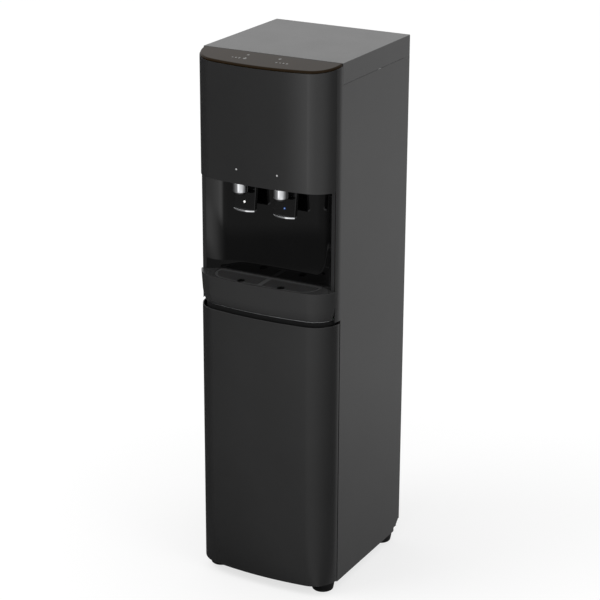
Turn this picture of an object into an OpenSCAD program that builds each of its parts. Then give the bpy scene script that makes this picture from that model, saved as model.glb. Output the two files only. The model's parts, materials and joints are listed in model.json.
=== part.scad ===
// Plumbed-in water cooler: a tall cabinet with two push levers, a drip tray and a
// lower front panel that lifts off its hooks. Sizes in mm, +Z up, the front faces -Y,
// the floor is at z = 0 and the plan is centred on the whole cooler.

/* [Body] */
// Width of the cabinet over its side panels
body_w = 310; // [280:1:360]
// Depth of the side, from the straight front line to the rear flange
body_d = 292.5; // [270:0.5:340]
// Height from the floor to the top of the lid
body_h = 1122; // [1060:1:1180]
// Radius of the two front corners in plan
corner_r = 56.5; // [40:0.5:70]
// How far the middle of the front bows out past the corners
front_bow = 7; // [3:0.5:14]
// Thickness of the steel sheets
sheet_t = 1; // [0.8:0.1:1.2]
// Height of the feet under the cabinet
foot_h = 20; // [14:1:30]
// Depth of the flanges that guard the condenser
rear_flange = 27; // [22:0.5:34]

/* [Top] */
// Height of the lid's skirt
lid_skirt = 42; // [30:1:60]
// Wall of the lid
lid_t = 2; // [1.5:0.1:3]
// Thickness of the display glass
glass_t = 4.5; // [3:0.1:6]
// Fall of the display glass for each mm towards the front
glass_slope = 0.17; // [0.1:0.01:0.2]

/* [Levels below the lid] */
// From the top of the lid to the lower edge of the upper cover
cover_drop = 251; // [220:1:280]
// From the top of the lid to the rim of the drip tray
tray_drop = 455; // [420:1:480]
// Height of the drip tray
tray_h = 61; // [50:1:75]
// Gap between the drip tray and the lower panel
tray_gap = 10; // [8:0.5:16]
// How far the side panels wrap round the front corners
wrap_d = 18; // [12:0.5:24]

/* [Taps] */
// Distance between the two nozzles
tap_gap = 91; // [80:1:110]
// Outside of a nozzle sleeve
nozzle_d = 30; // [24:0.5:34]
// Height of the sleeve that shows under the cover
nozzle_h = 20; // [14:0.5:28]
// Distance of the nozzles in front of the front line
nozzle_out = 47; // [44:0.5:48]
// Width of a lever
lever_w = 48; // [40:0.5:54]
// Thickness of a lever
lever_t = 10; // [8:0.5:12]
// Length of a lever below its pivot
lever_l = 76; // [66:1:84]
// Forward lean of a lever at rest, in degrees
lever_lean = 7.9; // [5:0.1:9]
// Diameter of a pivot pin
pin_d = 4; // [3:0.5:5]

/* [Tray] */
// Half the width of the grille
grille_half_w = 118; // [100:1:124]
// Corner radius of the grille in plan
grille_r = 40; // [30:1:44]
// Thickness of the grille
grille_t = 3; // [2:0.1:4]
// Distance from one slat to the next
slat_pitch = 6.4; // [5.6:0.1:8]
// Wall of the drip tray
tray_wall = 3; // [2:0.1:4]

/* [Lower panel] */
// Wall of the lower panel and the upper cover
cover_wall = 2.5; // [2:0.1:3]
// Height that the lower panel is lifted to free its hooks
panel_lift = 5; // [4:0.1:5.2]

/* [Cold tank] */
// Diameter of the cold tank
tank_d = 150; // [130:1:170]
// Straight height of the cold tank
tank_h = 220; // [180:1:230]
// Insulation outside the evaporator coil
foam_t = 27; // [20:1:34]
// Diameter of the evaporator tube
coil_d = 8; // [6:0.5:9]

/* [Cooling] */
// Diameter of the compressor shell
pot_d = 118; // [100:1:130]
// Straight height of the compressor shell
pot_h = 88; // [70:1:110]
// Diameter of the condenser tube
condenser_d = 5; // [4:0.5:6]
// Number of condenser runs
condenser_runs = 13; // [9:2:15]
// Distance from one condenser run to the next
condenser_pitch = 44; // [36:1:46]

/* [Water] */
// Diameter of the water tubes
tube_d = 6.4; // [6:0.1:8]
// Diameter of the filter cartridge
cartridge_d = 78; // [66:1:84]
// Length of the filter cartridge below its head
cartridge_l = 300; // [240:1:330]

/* [Preview] */
// Piece to draw, or all

/* [Hidden] */
$fn = 96;
bow_fn = 240;
hex_fn = 6;
// working clearances
seat = 0.3;
slack = 0.5;
run = 0.05;
// levels
z_top = body_h;
z_seam = z_top - lid_skirt;
z_cover = z_top - cover_drop;
z_tray = z_top - tray_drop;
z_tray_low = z_tray - tray_h;
z_panel = z_tray_low - tray_gap;
z_side = foot_h;
panel_foot_gap = 3.4;
z_panel_low = z_side + panel_foot_gap;
z_wrap_low = z_panel + panel_lift + 2 * slack;
shelf_t = 1.5;
z_shelf = z_tray_low - seat - shelf_t;
shelf_flange = 12;
grommet = 4;
// plan
half_w = body_w / 2;
front_bulge = corner_r + front_bow;
tray_proud = 2;
y_shift = -(body_d - front_bulge - tray_proud) / 2;
inner_half = half_w - sheet_t - seat;
y_back = body_d - rear_flange;
wedge_k = 1.3;
// the wide arc lies this much inside the corner arcs where they meet
blend = 0.02;
far = 2 * body_w;
// lid, display and cover
glass_in = 2;
glass_lower = 0.5;
ledge_w = 7;
ledge_t = 2;
board_t = 1.6;
board_drop = glass_t + ledge_t + 2 * seat;
board_in = cover_wall + 2;
led_d = 5;
led_x = [-45, -32, 32, 50];
lid_edge_r = 3;
lid_lip_h = 9;
cover_floor = 3;
cover_light_d = 4;
cover_light_gap = 1.1;
cover_light_drop = 221.5;
// alcove
liner_r = 60;
liner_y = -2;
liner_t = 2.5;
liner_end_gap = 5;
// taps
tap_x = [-tap_gap / 2, tap_gap / 2];
nozzle_y = -nozzle_out;
nozzle_bore_d = 8;
stem_d = 16;
stem_h = 32;
tip_d = 22;
tip_h = 6.5;
spigot_d = 14;
spigot_h = 4;
pivot_y = -17;
pivot_up = 21;
z_pivot = z_cover + pivot_up;
lever_round = 4.5;
hub_d = 12;
hub_w = 38;
slot_front = 11;
slot_back = 9;
window_w = 14;
window_h = 9;
lip_t = 3;
lip_out = 8;
lip_r = 44;
mark_d = 5;
mark_deep = 1.6;
mark_up = 9;
cheek_t = 3;
cheek_d = 14;
spring_r = 3.6;
spring_wire = 1.2;
spring_turns = 9;
spring_pitch = 1.1;
plate_side = 38;
plate_half_w = tap_gap / 2 + plate_side;
plate_t = 3;
plate_front = 8;
plate_back = 2;
boss_wall = 3;
boss_h = 10;
spring_leg_y = 14;
// tray and grille
grille_y = -16;
grille_bow = 3;
grille_edge = 5;
grille_back = 10.5;
grille_low = 1;
basin_in = 5;
basin_floor = 4;
tray_foot_in = 6;
tray_mid_in = 0.5;
tray_curve_h = 22;
pocket_w = 20;
pocket_out = 14;
slat_w = 3.2;
centre_bar = 9;
drain_d = 18;
drain_x = tap_gap / 2;
drain_y = -nozzle_out;
// lower panel
hook_t = 3;
hook_l = 36;
hook_out = 16;
stud_d = 6;
stud_y = 9;
hook_in = 9;
hook_low = 110;
hook_high = 90;
hook_x = half_w - hook_in;
hook_levels = [z_side + hook_low, z_panel - hook_high];
hook_foot_t = 4;
hook_foot_y = 6;
panel_lip = 12;
frame_in = 9;
frame_h = 14;
frame_wall = 4;
tab_w = 14;
tab_d = 20;
// feet
foot_top_r = 25.5;
foot_low_r = 22;
foot_pad_h = 4;
foot_flare = 0.8;
foot_front_in = 32;
foot_front_out = 4;
foot_rear_in = 27;
foot_rear_up = 11;
glide_in = 36;
glide_y = 45;
foot_front = [half_w - foot_front_in, -foot_front_out];
foot_rear = [half_w - foot_rear_in, y_back - foot_rear_up];
glide = [half_w - glide_in, glide_y];
glide_top_r = 21;
glide_low_r = 18;
glide_gap = 1.5;
foot_stud_d = 8;
foot_stud_h = 10;
pan_t = 1.5;
pan_flange = 24;
pan_nose_in = 6;
pan_vent_y = 84;
// cold tank
cap_r = tank_d;
cap_h = cap_r - sqrt(cap_r * cap_r - tank_d * tank_d / 4);
tank_wall = 1;
foam_gap = 1.3;
foam_in_r = tank_d / 2 + coil_d + foam_gap;
foam_half = foam_in_r + foam_t;
up_y = 12;
tank_gap = 3.5;
tank_y = up_y + tube_d / 2 + tank_gap + foam_half;
foam_low = z_shelf + shelf_t + seat;
foam_floor = 34;
foam_roof = 34;
tank_float = 2;
z_tank = foam_low + foam_floor + cap_h + tank_float;
z_tank_top = z_tank + tank_h;
foam_top = z_tank_top + cap_h + foam_roof;
coil_gap = 0.4;
coil_r = tank_d / 2 + coil_d / 2 + coil_gap;
coil_turns = 12;
coil_pitch = tank_h / (coil_turns + 2);
stub_d = 8;
stub_x = 40;
stub_up = 20;
coil_drop = 44;
// cooling set
pot_x = 10;
pot_back = 84;
pot_y = y_back - pot_back;
pot_cap_k = 0.85;
pot_cap_r = pot_d * pot_cap_k;
pot_cap_h = pot_cap_r - sqrt(pot_cap_r * pot_cap_r - pot_d * pot_d / 4);
mount_h = 14;
mount_d = 24;
washer_t = 3;
washer_d = 18;
mount_dx = 62;
mount_dy = 42;
pot_plate_t = 2.5;
pot_plate_rim = 16;
pot_band = 3;
pot_port_l = 6;
pot_port_d = 9;
terminal = [36, 22, 44];
terminal_up = 14;
suction_side = 26;
suction_x = pot_x + suction_side;
z_plate = z_side + pan_t + mount_h;
z_pot = z_plate + pot_plate_t + pot_cap_h * 0.55;
discharge_down = 14;
suction_down = 24;
z_discharge = z_pot + pot_h - discharge_down;
z_suction = z_pot + pot_h - suction_down;
condenser_up = 150;
condenser_side = 42;
condenser_out = 14;
condenser_low = z_side + condenser_up;
condenser_top = condenser_low + (condenser_runs - 1) * condenser_pitch;
condenser_half = half_w - condenser_side;
condenser_y = y_back + condenser_out;
strap_w = 9;
strap_t = 1.1;
strap_sink = 1;
strap_over = 12;
strap_side = 33;
strap_x = [strap_side - condenser_half, 0, condenser_half - strap_side];
clip_w = 14;
drier_d = 19;
drier_l = 100;
drier_side = 60;
drier_in = 22;
drier_up = 235;
drier_x = drier_side - half_w;
drier_y = y_back - drier_in;
drier_low = z_side + drier_up;
riser_side = 28;
riser_in = 14;
riser_x = half_w - riser_side;
riser_y = y_back - riser_in;
pipe_d = 6;
capillary_d = 4;
drier_cone = 14;
suction_rise = 106;
suction_gap = 26;
capillary_drop = 60;
// water
inlet_side = 37;
inlet_x = inlet_side - half_w;
head_side = 50;
head_x = inlet_x + head_side;
head_y = 72;
head_d = 86;
head_h = 42;
head_under = 58;
z_head = z_panel - head_under;
neck_d = 44;
neck_h = 22;
dome_h = 12;
rib_d = 6;
rib_l = 40;
rib_up = 20;
port_d = 14;
port_l = 10;
inlet_up = 74;
inlet_z = z_side + inlet_up;
inlet_body_d = 13;
inlet_in = 26;
inlet_out = 21;
inlet_bore_l = 16;
nut_t = 8;
collar_d = 18;
flange_d = 26;
reducer_d = 32;
reducer_neck_d = 24;
reducer_l = 50;
reducer_gap = 18;
reducer_cap = 12;
valve_w = 32;
valve_d = 34;
valve_h = 26;
valve_coil_d = 28;
valve_coil_h = 24;
valve_y = 84;
valve_x = [46, 106];
valve_up = 14;
z_valve = z_head + valve_up;
loop_up = 30;
box_w = 150;
box_d = 70;
box_h = 46;
box_gap = 10;
box_rim = 3;
gland_x = [-box_w / 3, 0, box_w / 3];
gland_d = 12;
gland_l = 8;
plug_side = 51;
plug_up = 60;
plug_x = half_w - plug_side;
plug_z = z_side + plug_up;
plug_w = 28;
plug_h = 20;
plug_in = 26;
plug_floor = 8;
plug_wall = 3;
plug_ear = 10;
contact_w = 2;
contact_h = 4;
contact_l = 14;
contact_gap = 6;
contact_rise = 2.5;
vent_n = 9;
vent_w = 4;
vent_h = 60;
vent_pitch = 11;
vent_up = 40;
strap_hole_d = 5.5;
strap_hole_gap = 200;
strap_hole_drop = 30;
return_w = 20;
flange_up = 8;
flange_taper = 12;
screw_d = 7;
screw_h = 2.2;
shank_d = 3.5;
shank_l = 6;
screw_side = 14;
screw_up = 36;
screw_down = 22;
screw_n = 4;
screw_x = half_w - screw_side;
screw_pitch = (z_seam - screw_down - z_side - screw_up) / (screw_n - 1);
screw_z = [for (i = [0 : screw_n - 1]) z_side + screw_up + i * screw_pitch];

// Shared shapes

// Moves a piece from the front line's frame to the frame centred on the cooler
module place() {
    translate([0, y_shift, 0]) children();
}

function bow_radius(a, r, bow) = (a * a + (r + bow) * (r + bow) - r * r) / (2 * bow);

// How far forward the bowed front lies at a distance x from its middle
function bow_y(x) =
    let (big = bow_radius(half_w - corner_r, corner_r, front_bow))
    big - front_bulge - sqrt(pow(big - blend, 2) - x * x);

// A bowed front in plan: round corners on the line y = 0 and one wide arc between them
module bow_2d(half, r, bow, inset = 0, back = 0) {
    a = half - r;
    big = bow_radius(a, r, bow);
    cy = big - r - bow;
    intersection() {
        union() {
            intersection() {
                translate([0, cy]) circle(r = big - blend - inset, $fn = bow_fn);
                polygon([[0, cy], [-a * wedge_k, cy * (1 - wedge_k)], [a * wedge_k, cy * (1 - wedge_k)]]);
            }
            for (s = [-1, 1]) translate([s * a, 0]) circle(r = r - inset);
        }
        translate([-far, -far]) square([2 * far, far + back]);
    }
}

module nose_2d(inset = 0, back = 0) {
    bow_2d(half_w, corner_r, front_bow, inset, back);
}

// The nose with its sides stepped in behind the wraps of the side panels
module cover_2d(inset, back) {
    intersection() {
        nose_2d(inset, back);
        translate([-far, -far]) square([2 * far, far - wrap_d - slack]);
    }
    nose_2d(inset + sheet_t + seat, back);
}

module grille_2d(inset) {
    translate([0, grille_y])
        bow_2d(grille_half_w, grille_r, grille_bow, inset, grille_back - inset);
}

// All that lies above the glass's sloping top, lowered by drop
module above_slope(drop) {
    rear = 2;
    front = -body_d;
    rotate([90, 0, 90]) linear_extrude(height = 2 * body_w, center = true)
        polygon([
            [front, z_top - glass_lower - drop + glass_slope * front],
            [rear, z_top - glass_lower - drop + glass_slope * rear],
            [rear, z_top + body_d],
            [front, z_top + body_d]
        ]);
}

// A plate of the nose's shape that follows the slope, from one depth under it to another
module slope_plate(high, low, inset, back) {
    difference() {
        translate([0, 0, z_top - 2 * lid_skirt])
            linear_extrude(height = 3 * lid_skirt) nose_2d(inset, back);
        above_slope(high);
        below_slope(low);
    }
}

module below_slope(drop) {
    rear = 2;
    front = -body_d;
    rotate([90, 0, 90]) linear_extrude(height = 2 * body_w, center = true)
        polygon([
            [front, z_top - glass_lower - drop + glass_slope * front],
            [rear, z_top - glass_lower - drop + glass_slope * rear],
            [rear, z_top - body_d],
            [front, z_top - body_d]
        ]);
}

// A right-hand piece as it is, or mirrored for the left
module on_side(s) {
    mirror([s < 0 ? 1 : 0, 0, 0]) children();
}

module block(w, d, h) {
    translate([-w / 2, -d / 2, 0]) cube([w, d, h]);
}

module rod(p, q, d) {
    v = q - p;
    l = norm(v);
    translate(p) rotate([0, acos(v[2] / l), atan2(v[1], v[0])]) cylinder(h = l, d = d, $fn = 32);
}

// A bent tube: straight runs with a slightly fuller bend at each corner
module pipe(pts, d) {
    for (i = [0 : len(pts) - 2]) rod(pts[i], pts[i + 1], d);
    for (i = [1 : len(pts) - 2]) translate(pts[i]) sphere(d = d * 1.15, $fn = 32);
}

// Cabinet

module base_pan() {
    w = inner_half;
    color("#26272a") place() difference() {
        union() {
            translate([0, 0, z_side]) linear_extrude(height = pan_t) {
                nose_2d(pan_nose_in, 0);
                translate([-w, -pan_t]) square([2 * w, y_back + pan_t - slack]);
            }
            for (s = [-1, 1]) translate([s * (w - pan_t / 2), pan_t, z_side])
                translate([-pan_t / 2, 0, 0]) cube([pan_t, y_back - 2 * pan_t, pan_flange]);
            translate([-w, y_back - slack - pan_t, z_side]) cube([2 * w, pan_t, pan_flange]);
        }
        for (s = [-1, 1]) for (at = [foot_front, foot_rear, glide])
            translate([s * at[0], at[1], z_side - 1])
                cylinder(h = pan_t + 2, d = foot_stud_d + 2 * run);
        for (i = [-3 : 3]) translate([pot_x + i * vent_pitch, pan_vent_y, z_side - 1])
            block(vent_w, vent_h, pan_t + 2);
    }
}

module side_panel(s) {
    outer = half_w;
    z_return = z_side + pan_flange + 2 * sheet_t;
    color("#3a3b3e") place() on_side(s) {
        difference() {
            union() {
                translate([outer - sheet_t, 0, z_side])
                    cube([sheet_t, y_back - seat, z_seam - seat - z_side]);
                translate([outer - sheet_t - return_w, y_back - seat - sheet_t, z_return])
                    cube([return_w + sheet_t / 2, sheet_t, z_seam - seat - z_return]);
                translate([outer - corner_r, 0, z_wrap_low]) intersection() {
                    difference() {
                        cylinder(h = z_top - z_wrap_low, r = corner_r);
                        translate([0, 0, -1])
                            cylinder(h = z_top - z_wrap_low + 2, r = corner_r - sheet_t);
                    }
                    translate([0, -wrap_d, 0]) cube([corner_r + 1, wrap_d, z_top - z_wrap_low]);
                }
            }
            above_slope(glass_t + seat);
            for (z = screw_z) translate([screw_x, y_back - 2 * sheet_t, z])
                rotate([-90, 0, 0]) cylinder(h = 3 * sheet_t, d = shank_d + 2 * run);
        }
        for (z = hook_levels) translate([hook_x - hook_t, stud_y, z])
            rotate([0, 90, 0]) cylinder(h = outer - hook_x + hook_t - sheet_t / 2, d = stud_d);
    }
}

module side_panel_left() {
    side_panel(-1);
}

module side_panel_right() {
    side_panel(1);
}

module back_panel() {
    w = half_w - sheet_t;
    low = z_side + flange_up;
    high = z_seam - seat;
    color("#2c2d30") place() difference() {
        translate([-w, y_back, low]) cube([2 * w, rear_flange, high - low]);
        translate([-w + sheet_t, y_back + sheet_t, low - 1])
            cube([2 * (w - sheet_t), rear_flange, high - low + 2]);
        for (s = [-1, 1]) translate([s * w, body_d, low]) rotate([45, 0, 0])
            block(4 * sheet_t, flange_taper * sqrt(2), flange_taper);
        for (i = [0 : vent_n - 1])
            translate([pot_x + (i - (vent_n - 1) / 2) * vent_pitch, y_back, z_side + vent_up])
                block(vent_w, 4 * sheet_t, vent_h);
        back_hole(inlet_x, inlet_z, inlet_body_d + 2 * slack);
        back_hole(riser_x, condenser_top, pipe_d + grommet);
        back_hole(-riser_x, condenser_low, pipe_d + grommet);
        for (s = [-1, 1]) back_hole(s * strap_hole_gap / 2, z_seam - strap_hole_drop, strap_hole_d);
        for (s = [-1, 1]) for (z = screw_z) back_hole(s * screw_x, z, shank_d + 2 * run);
        translate([plug_x, y_back, plug_z]) block(plug_w, 4 * sheet_t, plug_h);
    }
}

module back_hole(x, z, d) {
    translate([x, y_back - 1, z]) rotate([-90, 0, 0]) cylinder(h = sheet_t + 2, d = d);
}

module lid() {
    edge_r = lid_edge_r;
    color("#7d7f82") place() difference() {
        translate([0, 0, z_seam]) linear_extrude(height = lid_skirt) {
            translate([-half_w, 0]) square([body_w, body_d - edge_r]);
            translate([-half_w + edge_r, body_d - 2 * edge_r]) square([body_w - 2 * edge_r, 2 * edge_r]);
            for (s = [-1, 1]) translate([s * (half_w - edge_r), body_d - edge_r]) circle(r = edge_r);
        }
        translate([-half_w + lid_t, lid_t, z_seam - 1])
            cube([body_w - 2 * lid_t, body_d - 2 * lid_t, lid_skirt - lid_t + 1]);
        translate([-half_w - 1, -1, z_seam - 1])
            cube([body_w + 2, lid_t + 2, lid_skirt - lid_lip_h + 1]);
    }
}

// Upper front

module tap_floor_cuts(z, h) {
    for (x = tap_x) {
        translate([x, nozzle_y, z]) cylinder(h = h, d = stem_d + 2 * seat);
        translate([x - lever_w / 2 - 2 * slack, pivot_y - slot_front, z])
            cube([lever_w + 4 * slack, slot_front + slot_back, h]);
    }
}

module front_cover() {
    color("#232427") place() {
        difference() {
            translate([0, 0, z_cover]) linear_extrude(height = z_top - z_cover) cover_2d(0, 0);
            translate([0, 0, z_cover + cover_floor])
                linear_extrude(height = z_top - z_cover) cover_2d(cover_wall, 1);
            above_slope(glass_t + seat);
            tap_floor_cuts(z_cover - 1, cover_floor + 2);
            for (x = tap_x) translate([x, -front_bulge - 1, z_top - cover_light_drop])
                rotate([-90, 0, 0])
                    cylinder(h = front_bow + 2 * cover_wall, d = cover_light_d + 2 * run);
        }
        difference() {
            slope_plate(glass_t + seat, glass_t + seat + ledge_t, cover_wall - seat + sheet_t, -slack);
            translate([0, 0, z_top - 2 * lid_skirt])
                linear_extrude(height = 3 * lid_skirt) nose_2d(cover_wall + ledge_w, 1);
        }
    }
}

module display_panel() {
    color("#1c1a18") place() slope_plate(0, glass_t, glass_in, -seat);
}

module display_board() {
    color("#1f4d2f") place() {
        slope_plate(board_drop, board_drop + board_t, board_in, -slack * 6);
        led_y = -front_bulge / 2;
        for (x = led_x)
            translate([x, led_y, z_top - glass_lower - board_drop - board_t / 2 + glass_slope * led_y])
                cylinder(h = ledge_t + board_t / 2, d = led_d);
    }
}

module cover_lights() {
    color("#e8e8e4") place() for (x = tap_x)
        translate([x, bow_y(x) + run, z_top - cover_light_drop]) rotate([-90, 0, 0])
            cylinder(h = -nozzle_out - stem_d / 2 - cover_light_gap - bow_y(x), d = cover_light_d);
}

module alcove_liner() {
    end_y = -wrap_d;
    high = z_cover - seat;
    low = z_shelf + shelf_t + seat;
    color("#0d0d0e") place() translate([0, 0, low]) linear_extrude(height = high - low)
        difference() {
            intersection() {
                liner_2d(liner_t);
                translate([-far, end_y]) square([2 * far, far]);
            }
            liner_2d(0);
        }
}

// The free space in front of the liner, grown by t
module liner_2d(t) {
    cx = liner_centre_x();
    for (s = [-1, 1]) translate([s * cx, liner_y - liner_r]) circle(r = liner_r + t);
    translate([-cx, liner_y - 2 * liner_r]) square([2 * cx, 2 * liner_r + t]);
}

function liner_centre_x() =
    let (edge = half_w - corner_r + sqrt(corner_r * corner_r - wrap_d * wrap_d) - liner_end_gap)
    edge - sqrt(liner_r * liner_r - pow(liner_r + liner_y - wrap_d, 2));

module mid_frame() {
    color("#1a1a1c") place() {
        difference() {
            translate([0, 0, z_shelf - seat - frame_h])
                linear_extrude(height = frame_h) nose_2d(frame_in, 0);
            translate([0, 0, z_shelf - seat - frame_h - 1])
                linear_extrude(height = frame_h - frame_wall + 1) nose_2d(frame_in + frame_wall, 1);
        }
        for (s = [-1, 1]) on_side(s)
            translate([half_w - cover_wall - 2 * slack - tab_w, -1, z_shelf - seat - frame_wall])
                cube([tab_w, tab_d, frame_wall]);
    }
}

module mid_shelf() {
    w = inner_half - seat;
    y_shelf_back = y_back - seat - sheet_t - slack;
    color("#8d9094") place() difference() {
        union() {
            translate([0, 0, z_shelf]) linear_extrude(height = shelf_t) {
                nose_2d(frame_in, 0);
                translate([-w, -pan_t]) square([2 * w, y_shelf_back + pan_t]);
            }
            for (s = [-1, 1]) on_side(s)
                translate([w - shelf_t, tab_d + shelf_flange, z_shelf - shelf_flange])
                    cube([shelf_t, y_shelf_back - tab_d - 2 * shelf_flange, shelf_flange + shelf_t]);
        }
        for (x = [tube_ambient_x, tube_cold_x]) translate([x, up_y, z_shelf - 1])
            cylinder(h = shelf_t + 2, d = tube_d + grommet);
        for (s = [-1, 1]) translate([s * coil_r, tank_y, z_shelf - 1])
            cylinder(h = shelf_t + 2, d = coil_d + grommet);
        translate([riser_x, riser_y, z_shelf - 1])
            cylinder(h = shelf_t + 2, d = pipe_d + grommet);
    }
}

// Drip tray

module tray_band(z, h, inset_low, inset_high) {
    a = half_w - corner_r;
    big = bow_radius(a, corner_r, front_bow);
    cy = big - front_bulge;
    r = big - blend;
    intersection() {
        translate([0, cy, z]) cylinder(h = h, r1 = r - inset_low, r2 = r - inset_high, $fn = bow_fn);
        translate([0, 0, z]) linear_extrude(height = h)
            polygon([[0, cy], [-a * wedge_k, cy * (1 - wedge_k)], [a * wedge_k, cy * (1 - wedge_k)]]);
    }
    for (s = [-1, 1]) translate([s * a, 0, z])
        cylinder(h = h, r1 = corner_r - inset_low, r2 = corner_r - inset_high);
}

// The room that the tray has in the alcove, less a wall t
module tray_room_2d(t) {
    liner_2d(-slack - t);
    translate([-far, -far]) square([2 * far, far - wrap_d - slack - t]);
}

module drip_tray() {
    z_ledge = z_tray - grille_low - grille_t - seat;
    color("#242528") place() difference() {
        intersection() {
            union() {
                tray_band(z_tray_low, tray_curve_h, tray_foot_in, tray_mid_in);
                tray_band(z_tray_low + tray_curve_h, tray_h - tray_curve_h, tray_mid_in, -tray_proud);
            }
            translate([0, 0, z_tray_low]) linear_extrude(height = tray_h) tray_room_2d(0);
        }
        translate([0, 0, z_ledge]) linear_extrude(height = tray_h)
            grille_2d(-slack);
        translate([0, 0, z_tray_low + basin_floor]) linear_extrude(height = tray_h)
            grille_2d(basin_in);
        for (s = [-1, 1]) translate([0, 0, z_tray_low - 1])
            linear_extrude(height = tray_h - tray_wall) intersection() {
                nose_2d(tray_foot_in + tray_wall, 0);
                tray_room_2d(tray_wall);
                translate([s * (grille_half_w + pocket_out) - pocket_w / 2, -far])
                    square([pocket_w, far]);
            }
    }
}

module tray_grille() {
    z = z_tray - grille_low - grille_t;
    slats = floor((grille_half_w - grille_edge) / slat_pitch);
    color("#141416") place() difference() {
        translate([0, 0, z]) linear_extrude(height = grille_t) grille_2d(0);
        translate([0, 0, z - 1]) linear_extrude(height = grille_t + 2) intersection() {
            grille_2d(grille_edge);
            for (s = [-1, 1]) for (i = [0 : slats - 1])
                translate([s * (centre_bar / 2 + slat_pitch * (i + 0.5)) - slat_w / 2, -far])
                    square([slat_w, far]);
        }
        for (s = [-1, 1]) translate([s * drain_x, drain_y, z - 1])
            cylinder(h = grille_t + 2, d = drain_d);
    }
}

// Lower front panel

module lower_panel() {
    color("#232427") place() {
        difference() {
            translate([0, 0, z_panel_low]) linear_extrude(height = z_panel - z_panel_low) nose_2d(0, 0);
            translate([0, 0, z_panel_low + cover_wall])
                linear_extrude(height = z_panel - z_panel_low) nose_2d(cover_wall, 1);
            translate([0, 0, z_panel_low - 1])
                linear_extrude(height = cover_wall + 2) nose_2d(cover_wall + panel_lip, 1);
        }
    }
}

// A hook's notch drops over its stud, and lifting the panel frees it
module panel_hooks() {
    notch = panel_lift - slack;
    color("#303236") place() for (s = [-1, 1]) on_side(s) for (z = hook_levels) difference() {
        low = z + stud_d / 2 + seat - notch;
        union() {
            translate([hook_x, -hook_foot_y, low]) cube([hook_t, hook_out + hook_foot_y, hook_l]);
            translate([0, 0, low]) linear_extrude(height = hook_l) intersection() {
                nose_2d(cover_wall + run, 0);
                translate([hook_x, -hook_foot_y]) square([half_w - hook_x, hook_foot_t]);
            }
        }
        translate([hook_x - 1, stud_y - stud_d / 2 - seat, low - 1])
            cube([hook_t + 2, stud_d + 2 * seat, z - low + 1]);
        translate([hook_x - 1, stud_y, z]) rotate([0, 90, 0])
            cylinder(h = hook_t + 2, d = stud_d + 2 * seat);
    }
}

// Taps

module at_lever(x) {
    translate([x, pivot_y, z_pivot]) rotate([-lever_lean, 0, 0]) children();
}

module tap_bracket() {
    z = z_cover + cover_floor + seat;
    color("#2e3034") place() difference() {
        union() {
            translate([-plate_half_w, -front_bulge + plate_front, z])
                cube([2 * plate_half_w, front_bulge - plate_front + plate_back, plate_t]);
            for (x = tap_x) for (s = [-1, 1])
                translate([x + s * (hub_w / 2 + slack + cheek_t / 2) - cheek_t / 2, pivot_y - cheek_d / 2, z]) {
                    cube([cheek_t, cheek_d, z_pivot - z]);
                    translate([0, cheek_d / 2, z_pivot - z]) rotate([0, 90, 0])
                        cylinder(h = cheek_t, d = cheek_d);
                }
            for (x = tap_x) translate([x, nozzle_y, z])
                cylinder(h = boss_h, d = stem_d + 2 * boss_wall);
        }
        tap_plate_cuts(z - 1, boss_h + 2);
        for (x = tap_x) translate([x - hub_w, pivot_y, z_pivot]) rotate([0, 90, 0])
            cylinder(h = 2 * hub_w, d = pin_d + 2 * run);
    }
}

module tap_plate_cuts(z, h) {
    for (x = tap_x) {
        translate([x, nozzle_y, z]) cylinder(h = h, d = stem_d + 2 * run);
        translate([x - hub_w / 2 - slack, pivot_y - slot_front, z])
            cube([hub_w + 2 * slack, slot_front + slot_back, h]);
    }
}

module nozzle(x) {
    color("#c9ccd0") place() translate([x, nozzle_y, z_cover]) difference() {
        union() {
            translate([0, 0, -nozzle_h]) cylinder(h = nozzle_h - seat, d = nozzle_d);
            translate([0, 0, -seat - 1]) cylinder(h = stem_h + 1, d = stem_d);
        }
        translate([0, 0, -nozzle_h - 1]) cylinder(h = nozzle_h + stem_h + 2, d = nozzle_bore_d);
        translate([0, 0, -nozzle_h - 1]) cylinder(h = spigot_h + 1 + seat, d = spigot_d + 2 * run);
    }
}

module nozzle_left() {
    nozzle(tap_x[0]);
}

module nozzle_right() {
    nozzle(tap_x[1]);
}

module nozzle_tip(x) {
    color("#18181a") place() translate([x, nozzle_y, z_cover - nozzle_h]) difference() {
        union() {
            translate([0, 0, -tip_h]) cylinder(h = tip_h - run, d = tip_d);
            translate([0, 0, -1]) cylinder(h = spigot_h + 1, d = spigot_d);
        }
        translate([0, 0, -tip_h - 1]) cylinder(h = tip_h + spigot_h + 2, d = nozzle_bore_d + 2);
    }
}

module nozzle_tip_left() {
    nozzle_tip(tap_x[0]);
}

module nozzle_tip_right() {
    nozzle_tip(tap_x[1]);
}

// A lever's flat section, rounded along its upright edges
module lever_2d(w, t, r) {
    translate([-w / 2 + r, -t / 2]) square([w - 2 * r, t]);
    translate([-w / 2, -t / 2 + r]) square([w, t - 2 * r]);
    for (sx = [-1, 1]) for (sy = [-1, 1])
        translate([sx * (w / 2 - r), sy * (t / 2 - r)]) circle(r = r, $fn = 32);
}

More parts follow.
